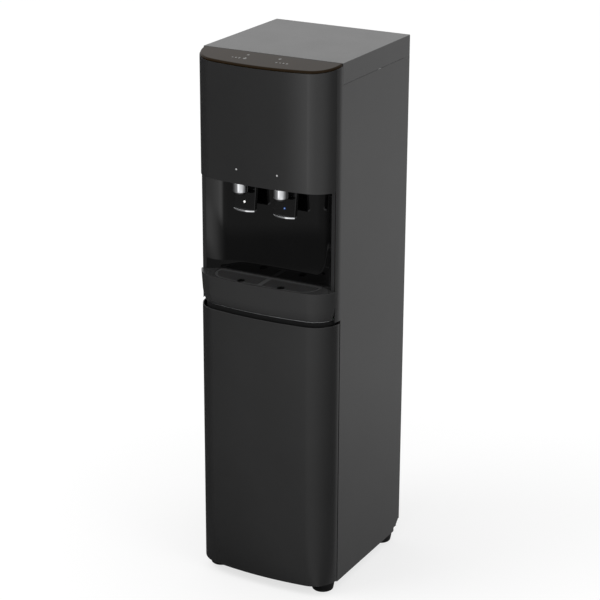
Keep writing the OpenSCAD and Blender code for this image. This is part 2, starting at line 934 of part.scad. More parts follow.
module lever(x) {
    head_drop = pivot_up + 2;
    color("#121214") place() difference() {
        at_lever(x) difference() {
            union() {
                translate([0, 0, -lever_l - lever_t]) linear_extrude(height = lever_l + lever_t - head_drop)
                    lever_2d(lever_w, lever_t, lever_round);
                translate([-hub_w / 2, -lever_t / 2, -head_drop - 1]) cube([hub_w, lever_t, head_drop + 1]);
                translate([-hub_w / 2, 0, 0]) rotate([0, 90, 0]) cylinder(h = hub_w, d = hub_d);
            }
            translate([-hub_w, 0, 0]) rotate([0, 90, 0])
                cylinder(h = 2 * hub_w, d = pin_d + 2 * run);
            translate([-window_w / 2, -lever_t, -window_h]) cube([window_w, 2 * lever_t, 2 * window_h]);
            translate([0, -lever_t / 2 + mark_deep, mark_up - lever_l]) rotate([90, 0, 0])
                cylinder(h = lever_t, d = mark_d + 2 * run);
        }
        translate([x, 0, lever_foot_z() - body_d]) block(2 * lever_w, body_d, body_d);
    }
}

// The level of the lever's lower face
function lever_foot_z() = z_pivot - lever_l * cos(lever_lean) - lever_t / 2;

module lever_left() {
    lever(tap_x[0]);
}

module lever_right() {
    lever(tap_x[1]);
}

module lever_lip(x) {
    z = lever_foot_z() - lip_t - run;
    foot_y = pivot_y - (z_pivot - lever_foot_z()) * tan(lever_lean);
    front = foot_y - lever_t / 2 - lip_out;
    color("#c9ccd0") place() translate([x, 0, z]) linear_extrude(height = lip_t) difference() {
        intersection() {
            translate([0, front + lip_r]) circle(r = lip_r);
            translate([-lever_w / 2, front - 1]) square([lever_w, foot_y - front + lever_t / 2]);
        }
        translate([0, foot_y + lip_r - 4]) circle(r = lip_r - 8);
    }
}

module lever_lip_left() {
    lever_lip(tap_x[0]);
}

module lever_lip_right() {
    lever_lip(tap_x[1]);
}

module lever_mark(x, c) {
    color(c) place() at_lever(x) translate([0, -lever_t / 2 + mark_deep - run, mark_up - lever_l])
        rotate([90, 0, 0]) cylinder(h = mark_deep + 0.3, d = mark_d);
}

module lever_mark_left() {
    lever_mark(tap_x[0], "#f4f4f2");
}

module lever_mark_right() {
    lever_mark(tap_x[1], "#2f7fe0");
}

module pivot_pin(x) {
    l = hub_w + 2 * (slack + cheek_t) + 2;
    translate([x - l / 2, pivot_y, z_pivot]) rotate([0, 90, 0]) cylinder(h = l, d = pin_d);
}

module pivot_pins() {
    color("#9a9da1") place() for (x = tap_x) pivot_pin(x);
}

// A closed coil drawn as rings side by side, with one leg that bears on the bracket
module lever_spring(x) {
    span = spring_pitch * (spring_turns - 1);
    leg = z_pivot - z_cover - cover_floor - plate_t - 2 * seat - spring_wire / 2;
    translate([x, pivot_y, z_pivot]) {
        for (i = [0 : spring_turns - 1]) translate([i * spring_pitch - span / 2, 0, 0])
            rotate([0, 90, 0]) rotate_extrude($fn = 48) translate([spring_r, 0])
                circle(d = spring_wire, $fn = 16);
        rod([-span / 2, spring_r, 0], [-span / 2, spring_leg_y, -leg], spring_wire);
    }
}

module lever_springs() {
    color("#8a8d91") place() for (x = tap_x) lever_spring(x);
}

// Cold tank

module tank_form(r, h, cap, grow) {
    cylinder(h = h, r = r);
    for (s = [0, 1]) translate([0, 0, s * h]) intersection() {
        translate([0, 0, s == 0 ? cap - cap_h : cap_h - cap]) sphere(r = cap + grow);
        translate([0, 0, s == 0 ? -cap : 0]) cylinder(h = cap, r = r);
    }
}

module cold_tank() {
    r = tank_d / 2;
    z_stub = foam_top + stub_up;
    color("#b9bcc0") place() translate([0, tank_y, 0]) {
        difference() {
            translate([0, 0, z_tank]) tank_form(r, tank_h, cap_r, 0);
            translate([0, 0, z_tank]) tank_form(r - tank_wall, tank_h, cap_r, -tank_wall);
            for (x = [0, stub_x]) translate([x, 0, z_tank_top - 20])
                cylinder(h = cap_h + 40, d = stub_d - 2);
        }
        for (x = [0, stub_x]) translate([x, 0, z_tank_top - 6]) difference() {
            cylinder(h = z_stub - z_tank_top + 6, d = stub_d);
            translate([0, 0, -1]) cylinder(h = z_stub - z_tank_top + 8, d = stub_d - 2);
        }
    }
}

module tank_insulation() {
    r = 14;
    w = 2 * foam_half;
    color("#d8d2c0") place() translate([0, tank_y, foam_low]) difference() {
        linear_extrude(height = foam_top - foam_low) {
            translate([-w / 2 + r, -w / 2]) square([w - 2 * r, w]);
            translate([-w / 2, -w / 2 + r]) square([w, w - 2 * r]);
            for (sx = [-1, 1]) for (sy = [-1, 1])
                translate([sx * (w / 2 - r), sy * (w / 2 - r)]) circle(r = r);
        }
        translate([0, 0, foam_floor]) cylinder(h = tank_h + 2 * cap_h + 4, r = foam_in_r);
        for (x = [0, stub_x]) translate([x, 0, foam_floor + tank_h])
            cylinder(h = foam_top, d = stub_d + 2 * seat);
        for (s = [-1, 1]) translate([s * coil_r, 0, -1])
            cylinder(h = foam_floor + 2, d = coil_d + 2 * seat);
    }
}

// Rings round the tank, joined by two upright runs that leave through the floor
module evaporator_coil() {
    z0 = z_tank + coil_pitch;
    color("#b8734a") place() translate([0, tank_y, 0]) {
        for (i = [0 : coil_turns]) translate([0, 0, z0 + i * coil_pitch])
            rotate_extrude($fn = 96) translate([coil_r, 0]) circle(d = coil_d, $fn = 24);
        for (s = [-1, 1]) translate([s * coil_r, 0, z_shelf - coil_drop])
            cylinder(h = z0 + (s > 0 ? coil_turns * coil_pitch : 0) - z_shelf + coil_drop,
                     d = coil_d - 1, $fn = 32);
    }
}

// Compressor and condenser

module compressor() {
    r = pot_d / 2;
    color("#1b1b1d") place() translate([pot_x, pot_y, 0]) {
        difference() {
            translate([0, 0, z_plate + seat])
                block(2 * (mount_dx + pot_plate_rim), 2 * (mount_dy + pot_plate_rim), pot_plate_t);
            for (sx = [-1, 1]) for (sy = [-1, 1]) translate([sx * mount_dx, sy * mount_dy, z_plate - 1])
                cylinder(h = pot_plate_t + 3, d = mount_d / 2 + 2 * run);
        }
        translate([0, 0, z_pot]) cylinder(h = pot_h, r = r);
        for (s = [0, 1]) translate([0, 0, z_pot + s * pot_h]) intersection() {
            translate([0, 0, s == 0 ? pot_cap_r - pot_cap_h : pot_cap_h - pot_cap_r])
                sphere(r = pot_cap_r);
            translate([0, 0, s == 0 ? -pot_cap_h * 0.6 : 0]) cylinder(h = pot_cap_r, r = r);
        }
        translate([0, 0, z_pot + pot_h / 2]) cylinder(h = 2 * pot_band, r = r + pot_band);
        translate([-terminal[0] / 2, -r - terminal[1] + pot_port_l, z_pot + terminal_up])
            cube(terminal);
        translate([suction_x - pot_x, 0, z_suction]) rotate([90, 0, 0])
            cylinder(h = r + pot_port_l, d = pot_port_d);
        translate([0, 0, z_discharge]) rotate([0, 90, 0])
            cylinder(h = r + pot_port_l, d = pot_port_d);
    }
}

module compressor_mounts() {
    color("#151515") place() for (sx = [-1, 1]) for (sy = [-1, 1])
        translate([pot_x + sx * mount_dx, pot_y + sy * mount_dy, z_side + pan_t]) {
            cylinder(h = mount_h, d = mount_d);
            cylinder(h = mount_h + pot_plate_t + 2 * washer_t, d = mount_d / 2);
            translate([0, 0, mount_h + pot_plate_t + 2 * seat]) cylinder(h = washer_t, d = washer_d);
        }
}

// A flat serpentine held by three straps
module condenser() {
    l = 2 * condenser_half;
    color("#1a1a1b") place() translate([0, condenser_y, 0]) {
        for (i = [0 : condenser_runs - 1]) translate([-condenser_half, 0, condenser_low + i * condenser_pitch])
            rotate([0, 90, 0]) cylinder(h = l, d = condenser_d, $fn = 32);
        for (i = [0 : condenser_runs - 2])
            translate([(i % 2 == 0 ? 1 : -1) * condenser_half, 0, condenser_low + (i + 0.5) * condenser_pitch])
                rotate([90, 0, 0]) rotate([0, 0, i % 2 == 0 ? -90 : 90])
                    rotate_extrude(angle = 180, $fn = 64) translate([condenser_pitch / 2, 0])
                        circle(d = condenser_d, $fn = 32);
        for (x = strap_x)
            translate([x - strap_w / 2, condenser_d / 2 - strap_sink, condenser_low - strap_over])
                cube([strap_w, strap_t + strap_sink, condenser_top - condenser_low + 2 * strap_over]);
    }
}

module condenser_clips() {
    y = y_back + sheet_t;
    clip_l = condenser_y + condenser_d / 2 - strap_sink - seat - y;
    color("#1d1d1f") place() for (x = [strap_x[0], strap_x[2]])
        for (z = [condenser_low + condenser_pitch / 2, condenser_top - condenser_pitch / 2])
            translate([x - clip_w / 2, y, z - clip_w / 2]) cube([clip_w, clip_l, clip_w]);
}

module filter_drier() {
    tip = pipe_d + 1;
    color("#b8734a") place() translate([drier_x, drier_y, drier_low]) {
        cylinder(h = drier_l, d = drier_d);
        translate([0, 0, drier_l]) cylinder(h = drier_cone, d1 = drier_d, d2 = tip);
        translate([0, 0, -drier_cone]) cylinder(h = drier_cone, d1 = tip, d2 = drier_d);
    }
}

module discharge_tube() {
    color("#b8734a") place() pipe([
        [pot_x + pot_d / 2 + pot_port_l + seat, pot_y, z_discharge],
        [riser_x, pot_y, z_discharge],
        [riser_x, riser_y, z_discharge],
        [riser_x, riser_y, condenser_top],
        [riser_x, condenser_y, condenser_top],
        [condenser_half + seat, condenser_y, condenser_top]
    ], pipe_d);
}

module suction_tube() {
    front = pot_y - pot_d / 2 - suction_gap;
    high = z_suction + suction_rise;
    color("#b8734a") place() pipe([
        [coil_r, tank_y, z_shelf - coil_drop - seat],
        [coil_r, tank_y, high],
        [coil_r, front, high],
        [coil_r, front, z_suction],
        [suction_x, front, z_suction],
        [suction_x, pot_y - pot_d / 2 - pot_port_l - seat, z_suction]
    ], pipe_d);
}

module liquid_tube() {
    high = z_head - capillary_drop;
    color("#b8734a") place() {
        pipe([
            [-condenser_half - seat, condenser_y, condenser_low],
            [-riser_x, condenser_y, condenser_low],
            [-riser_x, drier_y, condenser_low],
            [drier_x, drier_y, condenser_low],
            [drier_x, drier_y, drier_low - drier_cone - seat]
        ], pipe_d);
        pipe([
            [drier_x, drier_y, drier_low + drier_l + drier_cone + seat],
            [drier_x, drier_y, high],
            [-coil_r, drier_y, high],
            [-coil_r, tank_y, high],
            [-coil_r, tank_y, z_shelf - coil_drop - seat]
        ], capillary_d);
    }
}

// Water path

module filter_head() {
    color("#d9dbdc") place() translate([head_x, head_y, z_head]) {
        difference() {
            union() {
                cylinder(h = head_h, d = head_d);
                for (s = [-1, 1]) translate([s * (head_d / 2 - 2), 0, head_h * 0.6])
                    rotate([0, s * 90, 0]) cylinder(h = port_l + 2, d = port_d);
            }
            translate([0, 0, -1]) cylinder(h = neck_h + 1, d = neck_d + 2 * run);
        }
        translate([0, 0, head_h - 1])
            block(head_d / 2, head_d / 2, z_shelf - seat - z_head - head_h + 1);
    }
}

// The cartridge has a neck that turns in the head, a domed foot and six grip ribs
module filter_cartridge() {
    cap = cartridge_d / 2;
    color("#eceeef") place() translate([head_x, head_y, z_head - slack]) {
        translate([0, 0, -cartridge_l]) cylinder(h = cartridge_l, d = cartridge_d);
        translate([0, 0, -1]) cylinder(h = neck_h + 1, d = neck_d);
        translate([0, 0, -cartridge_l]) intersection() {
            translate([0, 0, cartridge_d - dome_h]) sphere(r = cartridge_d);
            translate([0, 0, -dome_h]) cylinder(h = dome_h + 1, r = cap);
        }
        for (a = [0 : 60 : 300]) rotate([0, 0, a]) translate([cap, 0, rib_up - cartridge_l])
            cylinder(h = rib_l, d = rib_d, $fn = 24);
    }
}

module inlet_fitting() {
    color("#e4e5e6") place() translate([inlet_x, 0, inlet_z]) rotate([-90, 0, 0]) difference() {
        union() {
            translate([0, 0, y_back - inlet_in])
                cylinder(h = inlet_in + inlet_out, d = inlet_body_d);
            translate([0, 0, y_back + sheet_t]) cylinder(h = 4 * sheet_t, d = flange_d);
            translate([0, 0, y_back + sheet_t]) cylinder(h = inlet_out, d = collar_d);
            translate([0, 0, y_back - nut_t])
                cylinder(h = nut_t - seat, d = flange_d, $fn = hex_fn);
        }
        translate([0, 0, y_back + sheet_t + inlet_out - inlet_bore_l])
            cylinder(h = inlet_bore_l + 1, d = tube_d + 2 * run);
        translate([0, 0, y_back - inlet_in - 1])
            cylinder(h = inlet_in + inlet_out, d = tube_d - 2);
    }
}

module pressure_reducer() {
    color("#cfa85a") place() translate([inlet_x, reducer_y, inlet_z]) rotate([-90, 0, 0]) {
        cylinder(h = reducer_l, d = reducer_neck_d);
        translate([0, 0, reducer_cap]) cylinder(h = reducer_l - 2 * reducer_cap, d = reducer_d);
        translate([0, 0, reducer_l / 2]) rotate([0, -90, 180])
            cylinder(h = reducer_d / 2 + port_l, d = port_d);
    }
}

module valve(x) {
    color("#e9e6dc") place() translate([x, valve_y, z_valve]) {
        block(valve_w, valve_d, valve_h);
        translate([0, 0, -valve_coil_h]) cylinder(h = valve_coil_h + 1, d = valve_coil_d);
        translate([-valve_w / 2 - port_l, 0, valve_h / 2]) rotate([0, 90, 0])
            cylinder(h = port_l + 1, d = port_d);
        translate([0, -valve_d / 2 + 1, valve_h / 2]) rotate([90, 0, 0])
            cylinder(h = port_l + 1, d = port_d);
        translate([0, 0, valve_h - 1])
            block(valve_w / 2, valve_w / 2, z_shelf - seat - z_valve - valve_h + 1);
    }
}

module valve_ambient() {
    valve(valve_x[0]);
}

module valve_cold() {
    valve(valve_x[1]);
}

reducer_y = y_back - inlet_in - reducer_gap - reducer_l;
port_z = z_head + head_h * 0.6;
valve_z = z_valve + valve_h / 2;
valve_front = valve_y - valve_d / 2 - port_l - seat;
tube_ambient_x = valve_x[0];
cold_gap = 20;
tube_cold_x = foam_half + cold_gap;

module tube_inlet() {
    front = reducer_y - seat;
    bend = front - reducer_d;
    left = head_x - head_d / 2 - port_l - seat;
    color("#e8e9ea") place() {
        rod([inlet_x, reducer_y + reducer_l + seat, inlet_z],
            [inlet_x, y_back - inlet_in - seat, inlet_z], tube_d);
        pipe([
            [inlet_x, front, inlet_z],
            [inlet_x, bend, inlet_z],
            [inlet_x - tube_d, bend, inlet_z + tube_d],
            [inlet_x - tube_d, bend, port_z],
            [inlet_x - tube_d, head_y, port_z],
            [left, head_y, port_z]
        ], tube_d);
    }
}

module tube_filtered() {
    right = head_x + head_d / 2 + port_l + seat;
    v1 = valve_x[0] - valve_w / 2 - port_l - seat;
    v2 = valve_x[1] - valve_w / 2 - port_l - seat;
    tee_x = (right + v1) / 2;
    branch_z = z_valve - valve_coil_h - 2 * tube_d;
    side = v2 - tube_d;
    color("#e8e9ea") place() {
        pipe([
            [right, head_y, port_z],
            [tee_x, head_y, port_z],
            [tee_x, valve_y, valve_z],
            [v1, valve_y, valve_z]
        ], tube_d);
        pipe([
            [tee_x, valve_y, valve_z],
            [tee_x, valve_y, branch_z],
            [side, valve_y, branch_z],
            [side, valve_y, valve_z],
            [v2, valve_y, valve_z]
        ], tube_d);
    }
}

module tube_ambient() {
    stem = z_cover + stem_h;
    high = stem + loop_up;
    color("#e8e9ea") place() pipe([
        [tube_ambient_x, valve_front, valve_z],
        [tube_ambient_x, up_y, valve_z],
        [tube_ambient_x, up_y, high],
        [tap_x[0], up_y, high],
        [tap_x[0], nozzle_y, high],
        [tap_x[0], nozzle_y, stem]
    ], tube_d);
}

module tube_cold_in() {
    stub = foam_top + stub_up;
    high = stub + 2 * tube_d;
    color("#e8e9ea") place() pipe([
        [valve_x[1], valve_front, valve_z],
        [valve_x[1], up_y, valve_z],
        [tube_cold_x, up_y, valve_z],
        [tube_cold_x, up_y, high],
        [tube_cold_x, tank_y, high],
        [stub_x, tank_y, high],
        [stub_x, tank_y, stub + seat]
    ], tube_d);
}

module tube_cold_out() {
    stub = foam_top + stub_up;
    high = stub + 4 * tube_d;
    front = up_y + 3 * tube_d;
    color("#e8e9ea") place() pipe([
        [0, tank_y, stub + seat],
        [0, tank_y, high],
        [0, front, high],
        [tap_x[1], front, high],
        [tap_x[1], nozzle_y, high],
        [tap_x[1], nozzle_y, z_cover + stem_h]
    ], tube_d);
}

// Electrics, feet and screws

module control_box() {
    color("#26282b") place() translate([0, y_back - box_d / 2 - box_gap, foam_top + seat]) {
        block(box_w, box_d, box_h);
        translate([0, 0, box_h - 1]) block(box_w + 2 * box_rim, box_d + 2 * box_rim, box_rim);
        for (x = gland_x) translate([x, -box_d / 2, box_h / 2]) rotate([90, 0, 0])
            cylinder(h = gland_l, d = gland_d);
    }
}

// A three-pin appliance socket behind its screwed flange
module power_inlet() {
    color("#17181a") place() translate([plug_x, y_back, plug_z]) {
        difference() {
            union() {
                translate([seat - plug_w / 2, -plug_in, seat])
                    cube([plug_w - 2 * seat, plug_in + 2 * sheet_t, plug_h - 2 * seat]);
                translate([-plug_w / 2 - plug_ear, sheet_t, -plug_wall])
                    cube([plug_w + 2 * plug_ear, plug_wall, plug_h + 2 * plug_wall]);
            }
            translate([plug_wall - plug_w / 2, plug_floor - plug_in, plug_wall])
                cube([plug_w - 2 * plug_wall, plug_in + plug_wall, plug_h - 2 * plug_wall]);
        }
        for (x = [-1, 0, 1])
            translate([x * contact_gap - contact_w / 2, -plug_in + 1, plug_h / 2 + (x == 0 ? 1 : -1) * contact_rise])
                translate([0, 0, -contact_h / 2]) cube([contact_w, plug_floor + contact_l, contact_h]);
    }
}

// A round foot with its threaded stud, its pad at the height low
module foot(s, at, top_r, low_r, low) {
    h = foot_h - low - seat;
    translate([s * at[0], at[1], low]) {
        cylinder(h = foot_pad_h, r1 = low_r, r2 = low_r + foot_flare);
        translate([0, 0, foot_pad_h])
            cylinder(h = h - foot_pad_h, r1 = low_r + foot_flare, r2 = top_r);
        translate([0, 0, h - 1]) cylinder(h = foot_stud_h + 1, d = foot_stud_d);
    }
}

module levelling_foot(s, at) {
    color("#0e0e0f") place() foot(s, at, foot_top_r, foot_low_r, 0);
}

module foot_front_left() {
    levelling_foot(-1, foot_front);
}

module foot_front_right() {
    levelling_foot(1, foot_front);
}

module foot_rear_left() {
    levelling_foot(-1, foot_rear);
}

module foot_rear_right() {
    levelling_foot(1, foot_rear);
}

module front_glides() {
    color("#0e0e0f") place() for (s = [-1, 1]) foot(s, glide, glide_top_r, glide_low_r, glide_gap);
}

module rear_screws() {
    color("#a4a7aa") place() for (s = [-1, 1]) for (z = screw_z)
        translate([s * screw_x, y_back + sheet_t, z]) rotate([-90, 0, 0]) {
            cylinder(h = screw_h, d = screw_d, $fn = 32);
            translate([0, 0, -shank_l]) cylinder(h = shank_l + 1, d = shank_d, $fn = 32);
        }
}

base_pan();
side_panel_left();
side_panel_right();
back_panel();
lid();
front_cover();
display_panel();
display_board();
cover_lights();
alcove_liner();
mid_frame();
mid_shelf();
drip_tray();
tray_grille();
lower_panel();
panel_hooks();
tap_bracket();
nozzle_left();
nozzle_right();
nozzle_tip_left();
nozzle_tip_right();
lever_left();
lever_right();
lever_lip_left();
lever_lip_right();
lever_mark_left();
lever_mark_right();
pivot_pins();
lever_springs();
cold_tank();
tank_insulation();
evaporator_coil();
compressor();
compressor_mounts();
condenser();
condenser_clips();
filter_drier();
discharge_tube();
suction_tube();
liquid_tube();
filter_head();
filter_cartridge();
inlet_fitting();
pressure_reducer();
valve_ambient();
valve_cold();
tube_inlet();
tube_filtered();
tube_ambient();
tube_cold_in();
tube_cold_out();
control_box();
power_inlet();
foot_front_left();
foot_front_right();
foot_rear_left();
foot_rear_right();
front_glides();
rear_screws();
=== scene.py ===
"""Finishes, detailed pieces and a small studio for a plumbed-in water cooler."""

import json
import math

import bmesh
import bpy
from bpy.props import FloatProperty, FloatVectorProperty, PointerProperty
from mathutils import Matrix, Vector

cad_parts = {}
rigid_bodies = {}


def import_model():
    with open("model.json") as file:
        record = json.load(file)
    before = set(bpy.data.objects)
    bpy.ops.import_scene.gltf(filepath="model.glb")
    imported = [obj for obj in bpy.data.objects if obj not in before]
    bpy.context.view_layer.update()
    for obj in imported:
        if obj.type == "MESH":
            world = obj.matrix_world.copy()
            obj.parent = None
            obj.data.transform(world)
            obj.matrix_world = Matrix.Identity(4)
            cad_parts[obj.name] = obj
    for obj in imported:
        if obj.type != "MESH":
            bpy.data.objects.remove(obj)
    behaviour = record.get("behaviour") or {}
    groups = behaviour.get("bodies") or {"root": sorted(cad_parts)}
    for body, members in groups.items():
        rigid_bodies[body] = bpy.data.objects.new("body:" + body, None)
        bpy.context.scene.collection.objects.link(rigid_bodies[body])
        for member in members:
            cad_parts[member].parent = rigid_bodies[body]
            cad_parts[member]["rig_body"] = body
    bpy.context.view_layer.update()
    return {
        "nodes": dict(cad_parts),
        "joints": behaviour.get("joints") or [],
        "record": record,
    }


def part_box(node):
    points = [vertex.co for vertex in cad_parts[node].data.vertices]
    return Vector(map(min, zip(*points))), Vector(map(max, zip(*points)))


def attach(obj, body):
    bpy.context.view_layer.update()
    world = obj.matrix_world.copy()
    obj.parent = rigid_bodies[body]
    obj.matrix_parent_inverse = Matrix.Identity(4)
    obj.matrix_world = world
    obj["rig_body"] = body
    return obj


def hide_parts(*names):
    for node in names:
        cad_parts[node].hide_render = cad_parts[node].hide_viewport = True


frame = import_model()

bl_info = {
    "name": "Water cooler looks",
    "version": (1, 0, 0),
    "blender": (4, 5, 0),
    "location": "View3D > Sidebar > Water cooler",
    "description": "Detailed pieces, finishes and a studio for a plumbed-in water cooler",
    "category": "Object",
}

SIDES = ("left", "right")
Y, Z = 1, 2

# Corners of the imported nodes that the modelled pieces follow, and the cabinet's main lines. The tray's back
# curves round an upright line at TRAY_BACK_X, and the levers lean forward at rest
LID_LOW, LID_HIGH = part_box("lid")
COVER_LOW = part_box("front_cover")[0]
PANEL_LOW, PANEL_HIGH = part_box("lower_panel")
LINER_LOW, LINER_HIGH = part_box("alcove_liner")
TRAY_LOW, TRAY_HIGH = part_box("drip_tray")
GRILLE_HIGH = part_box("tray_grille")[1]
FRONT_LINE = LID_LOW.y
HALF_WIDTH = LID_HIGH.x
TRAY_BACK_X = 0.10234
LEVER_LEAN = math.radians(7.9)

# The painted glint at the middle of the blue mark, a light dome that also glows, as a share of the mark's
# width
PAINTED_GLINT_SHARE = 0.22

# Points nearer than MERGE are one. Edges sharper than SHARP are softened, and creases flatter than FLAT go
MERGE = 1e-6
SHARP = math.radians(35.0)
FLAT = math.radians(0.4)
# Steps of arcs in plan, of pieces turned all round, and segments of a wide rounding
SMALL_ARC, TRAY_ARC, LINER_ARC = 8, 16, 24
DOT_STEPS, TURN_STEPS, FOOT_STEPS = 24, 48, 56
ROUNDING = 6
# A face is plain if its normal lies this near to an axis, or if it makes up this share of its piece
ALONG_AXIS = 0.999995
LARGE_SHARE = 0.12
# A face looks up if its normal has at least this much height. The grille's faces that don't look up get
# painted shade
LOOKS_UP = 0.5


# Values that a user would change

def length(name, default, description):
    return FloatProperty(name=name, description=description, default=default, unit="LENGTH", precision=4)


def colour(name, default, description):
    return FloatVectorProperty(name=name, description=description, default=default, subtype="COLOR",
                               size=3, min=0.0, max=1.0)


class CoolerSizes(bpy.types.PropertyGroup):
    """Sizes of the modelled pieces, in metres"""

    corner: length("Corner radius", 0.0565, "Radius of the two front corners in plan")
    bow: length("Front bow", 0.007, "How far the middle of the front bows out past the corners")
    sheet: length("Sheet", 0.001, "Thickness of the steel sheets")
    wall: length("Moulded wall", 0.0025, "Wall of the moulded covers")
    wrap: length("Wrap", 0.018, "How far the side sheets wrap round the front corners")
    gap: length("Gap", 0.0003, "Gap between two pieces that meet")
    seam: length("Seam", 0.0005, "Gap between the wraps and the covers")
    lid_wall: length("Lid wall", 0.002, "Wall of the lid")
    lid_round: length("Lid rounding", 0.003, "Rounding of the lid's rear corners")
    lid_lip: length("Lid lip", 0.009, "Height of the lid's front edge")
    glass_inset: length("Glass inset", 0.0012, "Distance of the glass from the outline of the cover")
    glass_depth: length("Glass depth", 0.0045, "Thickness of the display glass")
    glass_drop: length("Glass drop", 0.0005, "Drop of the glass under the lid at the front line")
    glass_fall: FloatProperty(name="Glass fall", default=0.17,
                              description="Fall of the glass for each metre towards the front")
    liner_radius: length("Liner radius", 0.06, "Radius of the liner's two upright curves")
    liner_back: length("Liner back", 0.002, "Distance of the liner's wall in front of the front line")
    liner_wall: length("Liner wall", 0.0025, "Wall of the liner")
    tray_foot: length("Tray foot", 0.006, "How far the tray draws in at its lower edge")
    tray_waist: length("Tray waist", 0.0005, "How far the tray lies behind the outline at its waist")
    tray_proud: length("Tray rim", 0.002, "How far the tray's rim stands proud of the outline")
    tray_curve: length("Tray curve", 0.022, "Height of the tray's lower band")
    ledge: length("Tray ledge", 0.0043, "Depth of the recess that the grille lies in")
    basin_inset: length("Basin inset", 0.005, "Distance of the basin from the recess")
    basin_floor: length("Basin floor", 0.004, "Thickness of the tray's floor")
    grille_corner: length("Grille corner", 0.04, "Corner radius of the grille in plan")
    grille_bow: length("Grille bow", 0.003, "Bow of the grille's front edge")
    grille_line: length("Grille line", 0.016, "Distance of the grille's corner centres from the front line")
    grille_behind: length("Grille back", 0.0105, "Depth of the grille behind its corner centres")
    edge: length("Edge", 0.0006, "Width of the softened edges")
    panel_gap: length("Panel gap", 0.0024, "Gap between the lower panel and the side sheets")
    glass_round: length("Glass rounding", 0.0032, "Rounding of the glass's front edge")
    trim: length("Trim", 0.0036, "How far the trims cover the liner's ends")
    trim_depth: length("Trim depth", 0.0005, "Thickness of the trims")
    icon_height: length("Icon height", 0.00015, "How far the icons stand on the glass")
    light_proud: length("Light proud", 0.0006, "How far the small lights stand out of the cover")
    slot_front: length("Slot front", 0.028, "Distance of the levers' slots from the front line, far end")
    slot_back: length("Slot back", 0.008, "Distance of the levers' slots from the front line, near end")
    wrap_rise: length("Wrap rise", 0.006, "Height of the wraps' lower ends over the lower panel")
    flange: length("Flange", 0.020, "Depth of the side sheets' rear flanges")
    flange_rise: length("Flange rise", 0.026, "Height of the flanges' lower ends over the sheets' own")
    lever_width: length("Lever width", 0.048, "Width of a push lever")
    lever_thick: length("Lever thickness", 0.010, "Thickness of a push lever")


class CoolerColours(bpy.types.PropertyGroup):
    """Colours of the finishes, as linear values"""

    charcoal: colour("Charcoal moulding", (0.0185, 0.0185, 0.0187), "Moulded front covers and tray")
    # Lighter than the charcoal of the covers whose moulding it shares: painted light for the lit top of the
    # tray
    tray: colour("Tray", (0.0235, 0.0235, 0.0237), "Drip tray")
    # Lighter than the tray: painted light on the tops of the slats
    grille: colour("Grille", (0.0560, 0.0560, 0.0564), "Slatted grille of the tray")
    coat: colour("Charcoal coat", (0.0250, 0.0250, 0.0253), "Powder coat of the steel sheets")
    lid: colour("Lid", (0.0385, 0.0385, 0.0388), "Top moulding")
    gloss: colour("Gloss black", (0.0012, 0.0012, 0.0013), "High gloss black pieces")
    glass: colour("Display glass", (0.0120, 0.0056, 0.0006), "Smoked display glass")
    chrome: colour("Chrome", (0.78, 0.79, 0.81), "Nozzles and lips")
    # The lever marks' colours also drive their glow, which is painted light
    blue: colour("Blue mark", (0.006, 0.045, 0.22), "Mark of the cold lever")
    # A painted highlight: the light, glowing centre of the blue mark
    glint: colour("Blue glint", (0.26, 0.40, 0.66), "Light centre of the blue mark")
    icons: colour("Icons", (0.17, 0.17, 0.165), "Printed icons on the glass")
    frost: colour("Frosted lens", (0.56, 0.56, 0.56), "Small lights above the taps")
    white: colour("White mark", (0.86, 0.86, 0.84), "Mark of the other lever and the small lights")


class CoolerStage(bpy.types.PropertyGroup):
    """Camera and light"""

    place: FloatVectorProperty(name="Camera", description="Place of the camera", unit="LENGTH", size=3,
                               default=(1.8426, -3.3595, 1.9803))
    yaw: FloatProperty(name="Yaw", description="Turn of the view to the left of straight ahead",
                       subtype="ANGLE", default=math.radians(28.726))
    pitch: FloatProperty(name="Pitch", description="Fall of the view", subtype="ANGLE",
                         default=math.radians(20.06))
    roll: FloatProperty(name="Roll", description="Turn of the view round its own line", subtype="ANGLE",
                        default=math.radians(0.246))
    lens: FloatProperty(name="Lens", description="Focal length in millimetres on a 36 mm sensor",
                        default=118.16)
    ambient: FloatProperty(name="Ambient", description="Level of the sky on matt surfaces", default=0.62)
    key_watts: FloatProperty(name="Key", description="Power of the large lamp at the upper left",
                             default=30.0)
    fill_watts: FloatProperty(name="Fill", description="Power of the lamp at the right", default=10.0)
    floor_near: FloatProperty(name="Near glow", description="Light that the seen floor adds at the feet",
                              default=0.70)
    floor_far: FloatProperty(name="Far glow", description="Light that the seen floor adds far away",
                             default=0.80)


# Outlines and solids


def line_to(bm, vert, x, y):
    """Draws a straight edge in plan and returns its far end."""
    end = bmesh.ops.extrude_vert_indiv(bm, verts=[vert])["verts"][0]
    end.co = (x, y, vert.co.z)
    return end


def arc_to(bm, vert, centre, angle, steps):
    """Turns vert about an upright axis, draws its path and returns its far end."""
    made = bmesh.ops.spin(bm, geom=[vert], cent=(centre[0], centre[1], vert.co.z), axis=(0, 0, 1),
                          angle=angle, steps=steps, use_duplicate=False)
    return next(v for v in made["geom_last"] if isinstance(v, bmesh.types.BMVert))


